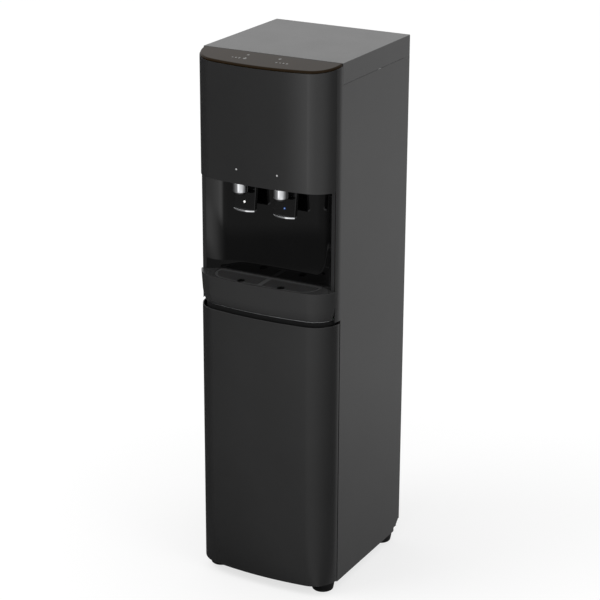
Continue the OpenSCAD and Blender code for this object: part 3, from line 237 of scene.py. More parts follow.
class BowedPlan:
    """A bowed front in plan: two round corners with one wide arc between them."""

    wide_steps = 14
    corner_steps = 26

    def __init__(self, half, corner, bow, line):
        self.centre_x = half - corner
        self.corner = corner
        self.bow = bow
        self.line = line
        self.wide = (self.centre_x ** 2 + (corner + bow) ** 2 - corner ** 2) / (2 * bow)
        self.wide_centre = (0.0, line + self.wide - corner - bow)
        self.join = math.asin(self.centre_x / (self.wide - corner))

    def turn_at(self, depth, inset):
        """The turn round the corner at which the outline lies depth in front of its line."""
        return math.acos(depth / (self.corner - inset))

    def draw(self, bm, z, inset, turn):
        """Draws the right half, from the middle to a turn round the corner, and returns its end."""
        start = bm.verts.new((0.0, self.line - self.corner - self.bow + inset, z))
        joint = arc_to(bm, start, self.wide_centre, self.join, self.wide_steps)
        return arc_to(bm, joint, (self.centre_x, self.line), turn - self.join, self.corner_steps)


def body_plan(sizes):
    return BowedPlan(HALF_WIDTH, sizes.corner, sizes.bow, FRONT_LINE)


def everything(bm):
    return bm.verts[:] + bm.edges[:] + bm.faces[:]


def verts_of(items):
    """The vertices of some edges or faces, each one once and in order."""
    return list(dict.fromkeys(vert for item in items for vert in item.verts))


def lies_at(item, axis, value):
    """True where every vertex of an edge or a face has this coordinate."""
    return all(abs(vert.co[axis] - value) < MERGE for vert in item.verts)


def is_upright(edge):
    return abs(edge.verts[0].co.z - edge.verts[1].co.z) > MERGE


def shift(bm, vector, verts=None):
    bmesh.ops.translate(bm, verts=bm.verts if verts is None else verts, vec=vector)


def tilt(bm, angle, axis, verts=None):
    bmesh.ops.rotate(bm, verts=bm.verts if verts is None else verts, cent=(0, 0, 0),
                     matrix=Matrix.Rotation(angle, 3, axis))


def cut(bm, place, normal, **cleared):
    """Cuts everything along a plane, and clears the side that is asked for."""
    bmesh.ops.bisect_plane(bm, geom=everything(bm), plane_co=place, plane_no=normal, dist=MERGE, **cleared)


def mirror_half(bm):
    bmesh.ops.mirror(bm, geom=everything(bm), matrix=Matrix(), merge_dist=MERGE, axis="X")


def fill_outline(bm):
    return bmesh.ops.edgeloop_fill(bm, edges=bm.edges[:])["faces"]


def close_holes(bm):
    bmesh.ops.holes_fill(bm, edges=[e for e in bm.edges if e.is_boundary], sides=0)


def raise_faces(bm, faces, height):
    """Extrudes faces upwards and returns the raised ones."""
    made = bmesh.ops.extrude_face_region(bm, geom=faces)["geom"]
    shift(bm, (0.0, 0.0, height), [g for g in made if isinstance(g, bmesh.types.BMVert)])
    return [g for g in made if isinstance(g, bmesh.types.BMFace)]


def drop_faces(bm, test):
    bmesh.ops.delete(bm, geom=[f for f in bm.faces if test(f)], context="FACES")


def slope_cut(bm, sizes, drop, below=False):
    """Cuts along the glass's slope, lowered by drop, and keeps what is under it, or over it if below."""
    height = LID_HIGH.z - sizes.glass_drop - drop
    normal = Vector((0.0, -sizes.glass_fall, 1.0)).normalized()
    cut(bm, (0.0, FRONT_LINE, height), normal, clear_outer=not below, clear_inner=below)


def box_into(bm, low, high):
    """Adds a block between two corners and returns its vertices."""
    verts = bmesh.ops.create_cube(bm, size=1.0)["verts"]
    bmesh.ops.scale(bm, vec=[high[i] - low[i] for i in range(3)], verts=verts)
    shift(bm, [(high[i] + low[i]) / 2 for i in range(3)], verts)
    return verts


def edges_of(verts):
    return list(dict.fromkeys(edge for vert in verts for edge in vert.link_edges))


def bevel_edges(bm, edges, width, segments):
    bmesh.ops.bevel(bm, geom=edges, offset=width, offset_type="OFFSET", segments=segments, profile=0.5,
                    affect="EDGES", material=-1, clamp_overlap=True)


def foot_of(low, high):
    """The middle of a box's lower face."""
    return (low.x + high.x) / 2, (low.y + high.y) / 2, low.z


def turned(bm, outline, centre, steps=TURN_STEPS):
    """Turns an outline of (radius, height) points round an upright line at centre."""
    verts = [bm.verts.new((centre[0] + radius, centre[1], centre[2] + height)) for radius, height in outline]
    edges = [bm.edges.new(pair) for pair in zip(verts, verts[1:])]
    bmesh.ops.spin(bm, geom=verts + edges, cent=centre, axis=(0.0, 0.0, 1.0), angle=math.tau, steps=steps,
                   use_merge=True, use_duplicate=False)
    bmesh.ops.remove_doubles(bm, verts=bm.verts, dist=MERGE)


# Objects


def finish_of(slot):
    return bpy.data.materials[slot + "_finish"]


def soften(piece, width, segments=3):
    """Rounds the sharp edges and keeps the flat faces flat in their shading."""
    if width > 0:
        bevel = piece.modifiers.new("Softened edges", "BEVEL")
        bevel.width = width
        bevel.segments = segments
        bevel.limit_method = "ANGLE"
        bevel.angle_limit = SHARP
    normals = piece.modifiers.new("Face normals", "WEIGHTED_NORMAL")
    normals.keep_sharp = True


def wall_of(piece, thickness):
    """Gives an open shell its wall, inwards."""
    wall = piece.modifiers.new("Wall", "SOLIDIFY")
    wall.thickness = thickness
    wall.offset = -1.0
    wall.use_even_offset = True


def is_plain(face, whole):
    """True for a level or upright face and for one that makes up much of its piece."""
    return max(abs(c) for c in face.normal) > ALONG_AXIS or face.calc_area() > LARGE_SHARE * whole


def add_piece(bm, name, slot, body="cabinet", nodes=(), finish=None):
    """Makes an object from a finished mesh with the finish of its slot, ties it to its body and hides the
    nodes it stands for.
    """
    bmesh.ops.recalc_face_normals(bm, faces=bm.faces)
    whole = sum(face.calc_area() for face in bm.faces)
    for face in bm.faces:
        face.smooth = not is_plain(face, whole)
    mesh = bpy.data.meshes.new(name)
    bm.to_mesh(mesh)
    bm.free()
    mesh.materials.append(finish_of(finish or slot))
    piece = bpy.data.objects.new(name, mesh)
    bpy.context.scene.collection.objects.link(piece)
    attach(piece, body)
    if nodes:
        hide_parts(*nodes)
    return piece


def body_of(node):
    return frame["nodes"][node]["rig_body"]


def slot_of(node):
    return next(part["material_slot"] for part in frame["record"]["subparts"] if part["node"] == node)


def refined(node, name, width, segments=2, finish=None):
    """A welded copy of a node with its edges softened."""
    bm = bmesh.new()
    bm.from_mesh(frame["nodes"][node].data)
    bmesh.ops.remove_doubles(bm, verts=bm.verts, dist=MERGE)
    bmesh.ops.dissolve_limit(bm, angle_limit=FLAT, verts=bm.verts, edges=bm.edges)
    for face in bm.faces:
        face.material_index = 0
    piece = add_piece(bm, name, slot_of(node), body_of(node), [node], finish)
    soften(piece, width, segments)
    return piece


def facet(piece):
    """Shades a piece flat, for crisp edges on bright metal."""
    piece.data.polygons.foreach_set("use_smooth", [False] * len(piece.data.polygons))


def paint_shade_on_walls(piece, finish):
    """Gives every face but the upward ones a second, darker finish: painted shade where light from above
    doesn't fall.
    """
    piece.data.materials.append(finish_of(finish))
    for face in piece.data.polygons:
        face.material_index = 0 if face.normal.z > LOOKS_UP else 1


# Finishes


def new_group(name, inputs, outputs):
    """A node group with its named sockets, as (tree, input node, output node)."""
    tree = bpy.data.node_groups.new(name, "ShaderNodeTree")
    for socket, kind, value in inputs:
        made = tree.interface.new_socket(socket, in_out="INPUT", socket_type=kind)
        if value is not None:
            made.default_value = value
    for socket, kind in outputs:
        tree.interface.new_socket(socket, in_out="OUTPUT", socket_type=kind)
    return tree, tree.nodes.new("NodeGroupInput"), tree.nodes.new("NodeGroupOutput")


def new_node(tree, kind, inputs=None, **settings):
    """Adds a node with its settings. Each input is either linked or filled in."""
    node = tree.nodes.new("ShaderNode" + kind)
    for name, value in settings.items():
        setattr(node, name, value)
    for socket, value in (inputs or {}).items():
        if isinstance(value, bpy.types.NodeSocket):
            tree.links.new(value, node.inputs[socket])
        else:
            node.inputs[socket].default_value = value
    return node


def math_in(tree, operation, *values):
    return new_node(tree, "Math", dict(enumerate(values)), operation=operation).outputs[0]


def mix_in(tree, factor, first, second):
    mix = new_node(tree, "Mix", {"Factor": factor, "A": first, "B": second}, data_type="RGBA")
    return mix.outputs["Result"]


def place_in(tree):
    return new_node(tree, "TexCoord").outputs["Object"]


def noise_in(tree, vector, scale, detail, roughness):
    inputs = {"Vector": vector, "Scale": scale, "Detail": detail, "Roughness": roughness}
    return new_node(tree, "TexNoise", inputs).outputs["Fac"]


def spread_in(tree, value, low, high, to_low, to_high):
    """Stretches a value from one span to another."""
    spans = {"Value": value, "From Min": low, "From Max": high, "To Min": to_low, "To Max": to_high}
    return new_node(tree, "MapRange", spans).outputs["Result"]


def grain_group():
    """A moulded or sprayed grain: fine pits over a slow orange peel."""
    tree, given, out = new_group(
        "Fine grain",
        [("Vector", "NodeSocketVector", None), ("Scale", "NodeSocketFloat", 900.0)],
        [("Height", "NodeSocketFloat")],
    )
    fine = noise_in(tree, given.outputs["Vector"], given.outputs["Scale"], detail=2.0, roughness=0.6)
    slow = noise_in(tree, given.outputs["Vector"], 160.0, detail=1.0, roughness=0.4)
    tree.links.new(math_in(tree, "MULTIPLY_ADD", slow, 0.45, fine), out.inputs["Height"])


def drift_group():
    """A slow drift from one tone to another."""
    tree, given, out = new_group(
        "Tone drift",
        [("Vector", "NodeSocketVector", None), ("Scale", "NodeSocketFloat", 6.0),
         ("Tone A", "NodeSocketColor", (0.02, 0.02, 0.02, 1.0)),
         ("Tone B", "NodeSocketColor", (0.03, 0.03, 0.03, 1.0))],
        [("Color", "NodeSocketColor"), ("Mask", "NodeSocketFloat")],
    )
    drift = noise_in(tree, given.outputs["Vector"], given.outputs["Scale"], detail=4.0, roughness=0.6)
    mask = spread_in(tree, drift, 0.35, 0.65, 0.0, 1.0)
    tone = mix_in(tree, mask, given.outputs["Tone A"], given.outputs["Tone B"])
    tree.links.new(tone, out.inputs["Color"])
    tree.links.new(mask, out.inputs["Mask"])


def handling_group():
    """Roughness that drifts where hands and cloths have been."""
    tree, given, out = new_group(
        "Handling marks",
        [("Vector", "NodeSocketVector", None), ("Low", "NodeSocketFloat", 0.3),
         ("High", "NodeSocketFloat", 0.4)],
        [("Roughness", "NodeSocketFloat")],
    )
    broad = noise_in(tree, given.outputs["Vector"], 9.0, detail=5.0, roughness=0.6)
    rough = spread_in(tree, broad, 0.3, 0.7, given.outputs["Low"], given.outputs["High"])
    tree.links.new(rough, out.inputs["Roughness"])


def group_node(tree, name, vector, **values):
    inputs = {socket.replace("_", " "): value for socket, value in values.items()}
    return new_node(tree, "Group", {"Vector": vector, **inputs}, node_tree=bpy.data.node_groups[name])


def rgba(tone, factor=1.0):
    return (tone[0] * factor, tone[1] * factor, tone[2] * factor, 1.0)


def new_material(name):
    """A new material, with its tree and its Principled shader."""
    material = bpy.data.materials.new(name)
    material.use_nodes = True
    return material, material.node_tree, material.node_tree.nodes["Principled BSDF"]


def new_finish(slot, tone, rough, spread=0.1, grain=900.0, depth=0.0, drift=6.0, metallic=0.0,
               stretch=(1.0, 1.0, 1.0), **constants):
    """A finish with drifting tone and roughness and a grain. Constants go on the shader's own sockets."""
    _, tree, shader = new_material(slot + "_finish")
    where = new_node(tree, "Mapping", {"Vector": place_in(tree), "Scale": stretch}).outputs["Vector"]
    tones = group_node(tree, "Tone drift", where, Scale=drift, Tone_A=rgba(tone, 1.0 - spread),
                       Tone_B=rgba(tone, 1.0 + spread))
    tree.links.new(tones.outputs["Color"], shader.inputs["Base Color"])
    marks = group_node(tree, "Handling marks", where, Low=rough * (1.0 - spread), High=rough * (1.0 + spread))
    tree.links.new(marks.outputs["Roughness"], shader.inputs["Roughness"])
    if depth > 0:
        pits = group_node(tree, "Fine grain", where, Scale=grain).outputs["Height"]
        bump = new_node(tree, "Bump", {"Height": pits, "Distance": depth, "Strength": 1.0})
        tree.links.new(bump.outputs["Normal"], shader.inputs["Normal"])
    shader.inputs["Metallic"].default_value = metallic
    for socket, value in constants.items():
        shader.inputs[socket.replace("_", " ")].default_value = value


def moulded_finishes(colours):
    """The finishes of the covers, the tray, the sheets and the lid."""
    new_finish("charcoal_cover", colours.charcoal, rough=0.16, spread=0.05, grain=1400.0, depth=0.00002)
    # The tray's lighter tone is painted light on its lit top
    new_finish("tray_painted_light", colours.tray, rough=0.24, spread=0.05, grain=1400.0, depth=0.00002)
    # Painted light: the grille is lighter where the tops of its slats catch light
    new_finish("grille_painted_light", colours.grille, rough=0.5, spread=0.06, grain=1400.0, depth=0.00002, IOR=1.25)
    new_finish("charcoal_steel", colours.coat, rough=0.26, spread=0.05, grain=1100.0, depth=0.00003)
    new_finish("charcoal_lid", colours.lid, rough=0.34, spread=0.05, grain=1000.0, depth=0.00004)
    new_finish("satin_black", (0.0070, 0.0070, 0.0072), rough=0.38, spread=0.1, grain=1500.0, depth=0.00002)
    new_finish("band_satin", (0.0060, 0.0060, 0.0062), rough=0.6, spread=0.1, grain=1500.0, depth=0.00002,
               IOR=1.3)


def bright_finishes(colours):
    """The gloss pieces, the display glass and the chrome."""
    new_finish("gloss_black", colours.gloss, rough=0.045, spread=0.2, drift=14.0)
    new_finish("display_glass", colours.glass, rough=0.06, spread=0.12, drift=12.0, IOR=1.22,
               Specular_Tint=(0.96, 0.86, 0.74, 1.0))
    new_finish("chrome", colours.chrome, rough=0.07, spread=0.05, drift=20.0, metallic=1.0)


def mark_finishes(colours):
    """The marks on the levers, the small lights and the icons. The lever marks and the blue mark's glint glow
    though they are no lamps: painted light.
    """
    # Painted light: the marks glow by these strengths, though they are no lamps
    for slot, tone, glow in (("white_lens", colours.white, 0.55), ("blue_lens", colours.blue, 0.35),
                             ("blue_painted_glint", colours.glint, 0.4)):
        new_finish(slot, tone, rough=0.2, spread=0.04, Emission_Color=rgba(tone), Emission_Strength=glow)
    new_finish("frosted_lens", colours.frost, rough=0.35, spread=0.05, IOR=1.45)
    new_finish("icon_ink", colours.icons, rough=0.4, spread=0.05, IOR=1.45)


def metal_finishes():
    new_finish("zinc_steel", (0.42, 0.43, 0.44), rough=0.42, spread=0.18, grain=500.0, depth=0.00001,
               drift=30.0, metallic=1.0)
    new_finish("stainless", (0.56, 0.56, 0.57), rough=0.3, spread=0.12, grain=700.0, depth=0.00001,
               drift=12.0, metallic=1.0, stretch=(1.0, 1.0, 14.0))
    new_finish("copper", (0.56, 0.22, 0.11), rough=0.34, spread=0.22, grain=600.0, depth=0.00002,
               drift=40.0, metallic=1.0)
    new_finish("brass", (0.60, 0.42, 0.16), rough=0.32, spread=0.15, grain=600.0, depth=0.00002,
               drift=40.0, metallic=1.0)
    new_finish("black_steel", (0.016, 0.016, 0.017), rough=0.4, spread=0.2, grain=900.0, depth=0.00005,
               drift=18.0)


def soft_finishes():
    """Rubber, foam and the plastics inside."""
    new_finish("rubber", (0.0035, 0.0035, 0.0038), rough=0.6, spread=0.12, grain=1200.0, depth=0.00006,
               drift=25.0, IOR=1.3)
    new_finish("foam", (0.62, 0.56, 0.42), rough=0.85, spread=0.08, grain=450.0, depth=0.0005, drift=20.0)
    new_finish("white_plastic", (0.74, 0.75, 0.74), rough=0.36, spread=0.04, grain=1200.0, depth=0.00002)
    new_finish("natural_tube", (0.72, 0.73, 0.72), rough=0.3, spread=0.05, grain=900.0, depth=0.00001,
               Subsurface_Weight=0.2)
    new_finish("circuit_board", (0.02, 0.11, 0.04), rough=0.32, spread=0.3, grain=700.0, depth=0.00005,
               drift=180.0)


def make_finishes(colours):
    grain_group()
    drift_group()
    handling_group()
    moulded_finishes(colours)
    bright_finishes(colours)
    mark_finishes(colours)
    metal_finishes()
    soft_finishes()


# Pieces


def cover_shell(sizes):
    """The upper cover: its outline steps in behind the wraps, and its floor has the levers' slots."""
    plan = body_plan(sizes)
    bm = bmesh.new()
    inset = sizes.sheet + sizes.gap
    depth = sizes.wrap + sizes.seam
    outer_turn = plan.turn_at(depth, 0.0)
    inner_turn = plan.turn_at(depth, inset)
    end = plan.draw(bm, COVER_LOW.z, 0.0, outer_turn)
    inner = plan.corner - inset
    end = line_to(bm, end, plan.centre_x + inner * math.sin(inner_turn), plan.line - depth)
    end = arc_to(bm, end, (plan.centre_x, plan.line), math.pi / 2 - inner_turn, SMALL_ARC)
    line_to(bm, end, 0.0, plan.line)
    mirror_half(bm)
    floor = fill_outline(bm)
    raise_faces(bm, floor, LID_HIGH.z - COVER_LOW.z)
    slope_cut(bm, sizes, sizes.glass_depth + sizes.gap)
    drop_faces(bm, lambda face: lies_at(face, Y, plan.line))
    low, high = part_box("lever_right")
    cut_slots(bm, (low.x - sizes.edge, high.x + sizes.edge),
              (plan.line - sizes.slot_front, plan.line - sizes.slot_back), COVER_LOW.z)
    piece = add_piece(bm, "cover_shell", "charcoal_cover", nodes=["front_cover"])
    wall_of(piece, sizes.wall)
    soften(piece, sizes.edge)


def cut_slots(bm, across, along, level):
    """Cuts the levers' two slots out of the cover's floor."""
    cuts = [((side * x, 0, 0), (1, 0, 0)) for side in (-1, 1) for x in across]
    cuts += [((0, y, 0), (0, 1, 0)) for y in along]
    for place, normal in cuts:
        floor = [face for face in bm.faces if lies_at(face, Z, level)]
        verts = verts_of(floor)
        edges = [edge for edge in edges_of(verts) if lies_at(edge, Z, level)]
        bmesh.ops.bisect_plane(bm, geom=floor + edges + verts, plane_co=place, plane_no=normal, dist=MERGE)

    def in_slot(face):
        middle = face.calc_center_median()
        inside = across[0] < abs(middle.x) < across[1] and along[0] < middle.y < along[1]
        return inside and lies_at(face, Z, level)

    drop_faces(bm, in_slot)


def lower_shell(sizes):
    """The lower front panel: a bowed shell with a floor, open at the top and the back."""
    plan = body_plan(sizes)
    bm = bmesh.new()
    end = plan.draw(bm, PANEL_LOW.z, 0.0, math.pi / 2)
    line_to(bm, end, 0.0, plan.line)
    mirror_half(bm)
    floor = fill_outline(bm)
    top = raise_faces(bm, floor, PANEL_HIGH.z - PANEL_LOW.z)
    bmesh.ops.delete(bm, geom=top, context="FACES_ONLY")
    cut(bm, (0, plan.line - sizes.panel_gap, 0), (0, 1, 0), clear_outer=True)
    piece = add_piece(bm, "lower_shell", "charcoal_cover", "lower_panel_body", ["lower_panel"])
    wall_of(piece, sizes.wall)
    soften(piece, sizes.edge)


def side_sheet(sizes, side):
    """A side sheet: flat to the front line, then wrapped round the corner down to the tray."""
    plan = body_plan(sizes)
    bm = bmesh.new()
    low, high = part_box("side_panel_" + side)
    outer = HALF_WIDTH
    inner = outer - sizes.sheet
    wrap_low = PANEL_HIGH.z + sizes.wrap_rise
    seam = LID_LOW.z - sizes.gap
    front = [bm.verts.new((x, plan.line, low.z)) for x in (inner, outer)]
    rear = [line_to(bm, v, v.co.x, high.y) for v in front]
    bm.edges.new(front)
    bm.edges.new(rear)
    flat = raise_faces(bm, fill_outline(bm), wrap_low - low.z)
    top = [e for e in bm.edges if lies_at(e, Z, wrap_low) and lies_at(e, Y, plan.line)]
    known = set(bm.faces)
    bmesh.ops.spin(bm, geom=verts_of(top) + top, cent=(plan.centre_x, plan.line, 0), axis=(0, 0, 1),
                   angle=-math.asin(sizes.wrap / plan.corner), steps=SMALL_ARC, use_duplicate=False)
    wrap = [f for f in bm.faces if f not in known]
    both = raise_faces(bm, flat + wrap, seam - wrap_low)
    wrap = [f for f in both if f.calc_center_median().y < plan.line]
    raise_faces(bm, wrap, LID_HIGH.z - seam)
    slope_cut(bm, sizes, sizes.glass_depth + sizes.gap)
    close_holes(bm)
    box_into(bm, (inner - sizes.flange, high.y - sizes.sheet, low.z + sizes.flange_rise),
             (inner + sizes.sheet / 2, high.y - MERGE, seam - MERGE))
    if side == "left":
        bmesh.ops.scale(bm, vec=(-1, 1, 1), verts=bm.verts)
    piece = add_piece(bm, "side_sheet_" + side, "charcoal_steel", nodes=["side_panel_" + side])
    soften(piece, sizes.sheet * 0.35, 2)


def lid_shell(sizes):
    """The lid: a flat top with a skirt, open below and low at the front."""
    bm = bmesh.new()
    box_into(bm, LID_LOW, LID_HIGH)
    rear = [e for e in bm.edges if lies_at(e, Y, LID_HIGH.y) and is_upright(e)]
    bevel_edges(bm, rear, sizes.lid_round, ROUNDING)
    drop_faces(bm, lambda face: lies_at(face, Z, LID_LOW.z))
    lip = LID_HIGH.z - sizes.lid_lip
    cut(bm, (0, 0, lip), (0, 0, 1))
    drop_faces(bm, lambda face: lies_at(face, Y, LID_LOW.y) and face.calc_center_median().z < lip)
    piece = add_piece(bm, "lid_shell", "charcoal_lid", nodes=["lid"])
    wall_of(piece, sizes.lid_wall)
    soften(piece, sizes.edge * 1.3)


def display_glass(sizes):
    """The sloping glass on top of the front."""
    plan = body_plan(sizes)
    bm = bmesh.new()
    end = plan.draw(bm, COVER_LOW.z, sizes.glass_inset, math.pi / 2)
    line_to(bm, end, 0.0, plan.line)
    mirror_half(bm)
    raise_faces(bm, fill_outline(bm), LID_HIGH.z - COVER_LOW.z)
    cut(bm, (0, plan.line - sizes.gap, 0), (0, 1, 0), clear_outer=True)
    close_holes(bm)
    slope_cut(bm, sizes, sizes.glass_depth, below=True)
    close_holes(bm)
    slope_cut(bm, sizes, 0.0)
    close_holes(bm)
    bm.normal_update()
    top = max(bm.faces, key=lambda f: f.normal.z * f.calc_area())
    rim = [e for e in top.edges if min(v.co.y for v in e.verts) < plan.line - 2 * sizes.gap]
    bevel_edges(bm, rim, sizes.glass_round, ROUNDING)
    piece = add_piece(bm, "display_glass_plate", "display_glass", nodes=["display_panel"])
    soften(piece, sizes.edge / 3, 2)


# Icons on the glass, as places along its slope from its middle and from the front line, with their radii
ICON_BARS = ((-0.0685, -0.0348), (0.0362, -0.0338))
ICON_DOTS = ((-0.0444, -0.0156, 0.0030), (0.0265, -0.0164, 0.0032), (0.0280, -0.0338, 0.0024))
ICON_DROP = (-0.0417, -0.0342, 0.0038)
# The drop's upper part starts at this share of its radius, and is stretched and narrowed this much
DROP_SHOULDER, DROP_STRETCH, DROP_WIDTH = 0.5, 1.6, 0.55
# Lengths of the bars in a row, the step between them and half their width
BAR_LENGTHS = (0.0028, 0.0040, 0.0052)
BAR_STEP = 0.0075
BAR_HALF = 0.0019


def icon_dot(bm, x, y, radius, height):
    outline = [(0.0, 0.0), (radius, 0.0), (radius * 0.9, height), (0.0, height)]
    turned(bm, outline, (x, y, 0.0), steps=DOT_STEPS)


def glass_icons(sizes):
    """Small generic icons on the glass: level bars, indicator dots and a drop."""
    bm = bmesh.new()
    for row, y in ICON_BARS:
        for i, long in enumerate(BAR_LENGTHS):
            x = row + i * BAR_STEP
            box_into(bm, (x - BAR_HALF, y - long / 2, 0.0), (x + BAR_HALF, y + long / 2, sizes.icon_height))
    for x, y, radius in ICON_DOTS:
        icon_dot(bm, x, y, radius, sizes.icon_height)
    x, y, radius = ICON_DROP
    shoulder = y + radius * DROP_SHOULDER
    known = set(bm.verts)
    icon_dot(bm, x, y, radius, sizes.icon_height)
    for vert in (v for v in bm.verts if v not in known and v.co.y > shoulder):
        vert.co.y += (vert.co.y - shoulder) * DROP_STRETCH
        vert.co.x = x + (vert.co.x - x) * DROP_WIDTH
    tilt(bm, math.atan(sizes.glass_fall), "X")
    shift(bm, (0.0, FRONT_LINE, LID_HIGH.z - sizes.glass_drop))
    piece = add_piece(bm, "glass_icons", "white_lens", finish="icon_ink")
    soften(piece, 0.0)


def alcove_liner(sizes):
    """The curved liner behind the taps, one wall thick."""
    bm = bmesh.new()
    wall_y = FRONT_LINE - sizes.liner_back
    reach = sizes.liner_radius + sizes.liner_wall
    depth = LINER_LOW.y - wall_y + sizes.liner_radius
    centre = (LINER_HIGH.x - math.sqrt(reach ** 2 - depth ** 2), wall_y - sizes.liner_radius)
    inner_turn = math.acos(depth / sizes.liner_radius)
    outer_turn = math.acos(depth / reach)
    vert = bm.verts.new((0.0, wall_y, LINER_LOW.z))
    vert = line_to(bm, vert, centre[0], wall_y)
    vert = arc_to(bm, vert, centre, -inner_turn, LINER_ARC)
    vert = line_to(bm, vert, LINER_HIGH.x, LINER_LOW.y)
    vert = arc_to(bm, vert, centre, outer_turn, LINER_ARC)
    line_to(bm, vert, 0.0, wall_y + sizes.liner_wall)
    mirror_half(bm)
    raise_faces(bm, fill_outline(bm), LINER_HIGH.z - LINER_LOW.z)
    close_holes(bm)
    piece = add_piece(bm, "alcove_liner_wall", "gloss_black", nodes=["alcove_liner"])
    soften(piece, sizes.edge / 2, 2)


def liner_trims(sizes):
    """Two slim strips that close the joint between the liner and the wraps."""
    plan = body_plan(sizes)
    bm = bmesh.new()
    depth = plan.line - LINER_LOW.y
    reach = plan.centre_x + math.sqrt((plan.corner - sizes.sheet) ** 2 - depth ** 2) - sizes.gap
    for sign in (-1, 1):
        ends = sorted((sign * (LINER_HIGH.x - sizes.trim), sign * reach))
        box_into(bm, (ends[0], LINER_LOW.y - sizes.gap - sizes.trim_depth, TRAY_HIGH.z + sizes.gap),
                 (ends[1], LINER_LOW.y - sizes.gap, COVER_LOW.z - sizes.gap))
    piece = add_piece(bm, "liner_trims", "charcoal_cover")
    soften(piece, sizes.trim_depth / 3, 2)


def tray_half(bm, sizes, plan, z, inset):
    """Half the tray's outline at one level: its front, then its back along the liner. Returns its edges."""
    known = set(bm.edges)
    depth = sizes.wrap + sizes.seam
    end = plan.draw(bm, z, inset, plan.turn_at(depth, inset))
    back = FRONT_LINE - sizes.liner_back - sizes.seam
    radius = sizes.liner_radius - sizes.seam
    centre = (TRAY_BACK_X, back - radius)
    rise = (FRONT_LINE - depth) - centre[1]
    turn = math.acos(rise / radius)
    end = line_to(bm, end, centre[0] + math.sqrt(radius ** 2 - rise ** 2), FRONT_LINE - depth)
    end = arc_to(bm, end, centre, turn, TRAY_ARC)
    line_to(bm, end, 0.0, back)
    return [e for e in bm.edges if e not in known]


def grille_half(bm, sizes, z, inset):
    """Half the grille's outline, grown where inset is below zero. Returns its edges."""
    known = set(bm.edges)
    plan = BowedPlan(GRILLE_HIGH.x, sizes.grille_corner, sizes.grille_bow, FRONT_LINE - sizes.grille_line)
    back = sizes.grille_behind - inset
    turn = math.pi / 2 + math.asin(back / (sizes.grille_corner - inset))
    end = plan.draw(bm, z, inset, turn)
    line_to(bm, end, 0.0, plan.line + back)
    return [e for e in bm.edges if e not in known]


def bridge(bm, first, second):
    bmesh.ops.bridge_loops(bm, edges=first + second)


def middle_ends(edges):
    """Where half an outline meets the middle plane."""
    return [vert for vert in verts_of(edges) if abs(vert.co.x) < MERGE]


def cap_half(bm, first, second):
    """Fills the flat band between two half outlines."""
    ends = [sorted(middle_ends(edges), key=lambda vert: vert.co.y) for edges in (first, second)]
    links = [bm.edges.new(pair) for pair in zip(*ends)]
    bmesh.ops.edgeloop_fill(bm, edges=first + second + links)


def close_half(bm, edges):
    ends = middle_ends(edges)
    link = bm.edges.get(ends) or bm.edges.new(ends)
    bmesh.ops.edgeloop_fill(bm, edges=edges + [link])
    return link


def drip_tray(sizes):
    """The drip tray: a tapered front under a proud rim, with the grille's ledge and the basin."""
    plan = body_plan(sizes)
    bm = bmesh.new()
    low, high = TRAY_LOW.z, TRAY_HIGH.z
    rim = 0.006
    levels = [(low, sizes.tray_foot), (low + sizes.tray_curve * 0.45, sizes.tray_foot * 0.36),
              (low + sizes.tray_curve, sizes.tray_waist), (high - rim, -sizes.tray_proud * 0.75),
              (high, -sizes.tray_proud)]
    bands = [tray_half(bm, sizes, plan, z, inset) for z, inset in levels]
    for first, second in zip(bands, bands[1:]):
        bridge(bm, first, second)
    recess_top = grille_half(bm, sizes, high, -sizes.seam)
    recess_low = grille_half(bm, sizes, high - sizes.ledge, -sizes.seam)
    basin_top = grille_half(bm, sizes, high - sizes.ledge, sizes.basin_inset)
    basin_low = grille_half(bm, sizes, low + sizes.basin_floor, sizes.basin_inset * 1.6)
    cap_half(bm, bands[-1], recess_top)
    bridge(bm, recess_top, recess_low)
    bridge(bm, recess_low, basin_top)
    bridge(bm, basin_top, basin_low)
    links = [close_half(bm, basin_low), close_half(bm, bands[0])]
    mirror_half(bm)
    bmesh.ops.dissolve_edges(bm, edges=[e for e in links if e.is_valid], use_verts=False)
    # The tray takes its lighter finish, painted light
    piece = add_piece(bm, "drip_tray_shell", "charcoal_cover", "tray_body", ["drip_tray"], "tray_painted_light")
    soften(piece, sizes.edge / 2)


def lever_paddle(sizes, side):
    """A push lever: a slim paddle that leans forward under the hub on its pivot."""
    bm = bmesh.new()
    joint = next(j for j in frame["joints"] if j["name"] == f"lever_{side}_push")
    half, deep = sizes.lever_width / 2, sizes.lever_thick / 2
    paddle_low, paddle_high, overlap, rounding = -0.095, -0.023, 0.001, 0.001
    hub, hub_radius = 0.019, 0.006
    verts = box_into(bm, (-half, -deep, paddle_low), (half, deep, paddle_high))
    bevel_edges(bm, [e for e in edges_of(verts) if is_upright(e)], rounding, 3)
    box_into(bm, (-hub, -deep, paddle_high - overlap), (hub, deep, 0.0))
    rounds = bmesh.ops.create_cone(bm, cap_ends=True, segments=32, radius1=hub_radius, radius2=hub_radius,
                                   depth=2 * hub)["verts"]
    tilt(bm, math.pi / 2, "Y", rounds)
    tilt(bm, -LEVER_LEAN, "X")
    shift(bm, joint["pos_m"])
    cut(bm, (0, 0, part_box("lever_" + side)[0].z), (0, 0, 1), clear_inner=True)
    close_holes(bm)
    piece = add_piece(bm, "lever_paddle_" + side, "gloss_black", f"lever_{side}_body", ["lever_" + side])
    soften(piece, sizes.edge)


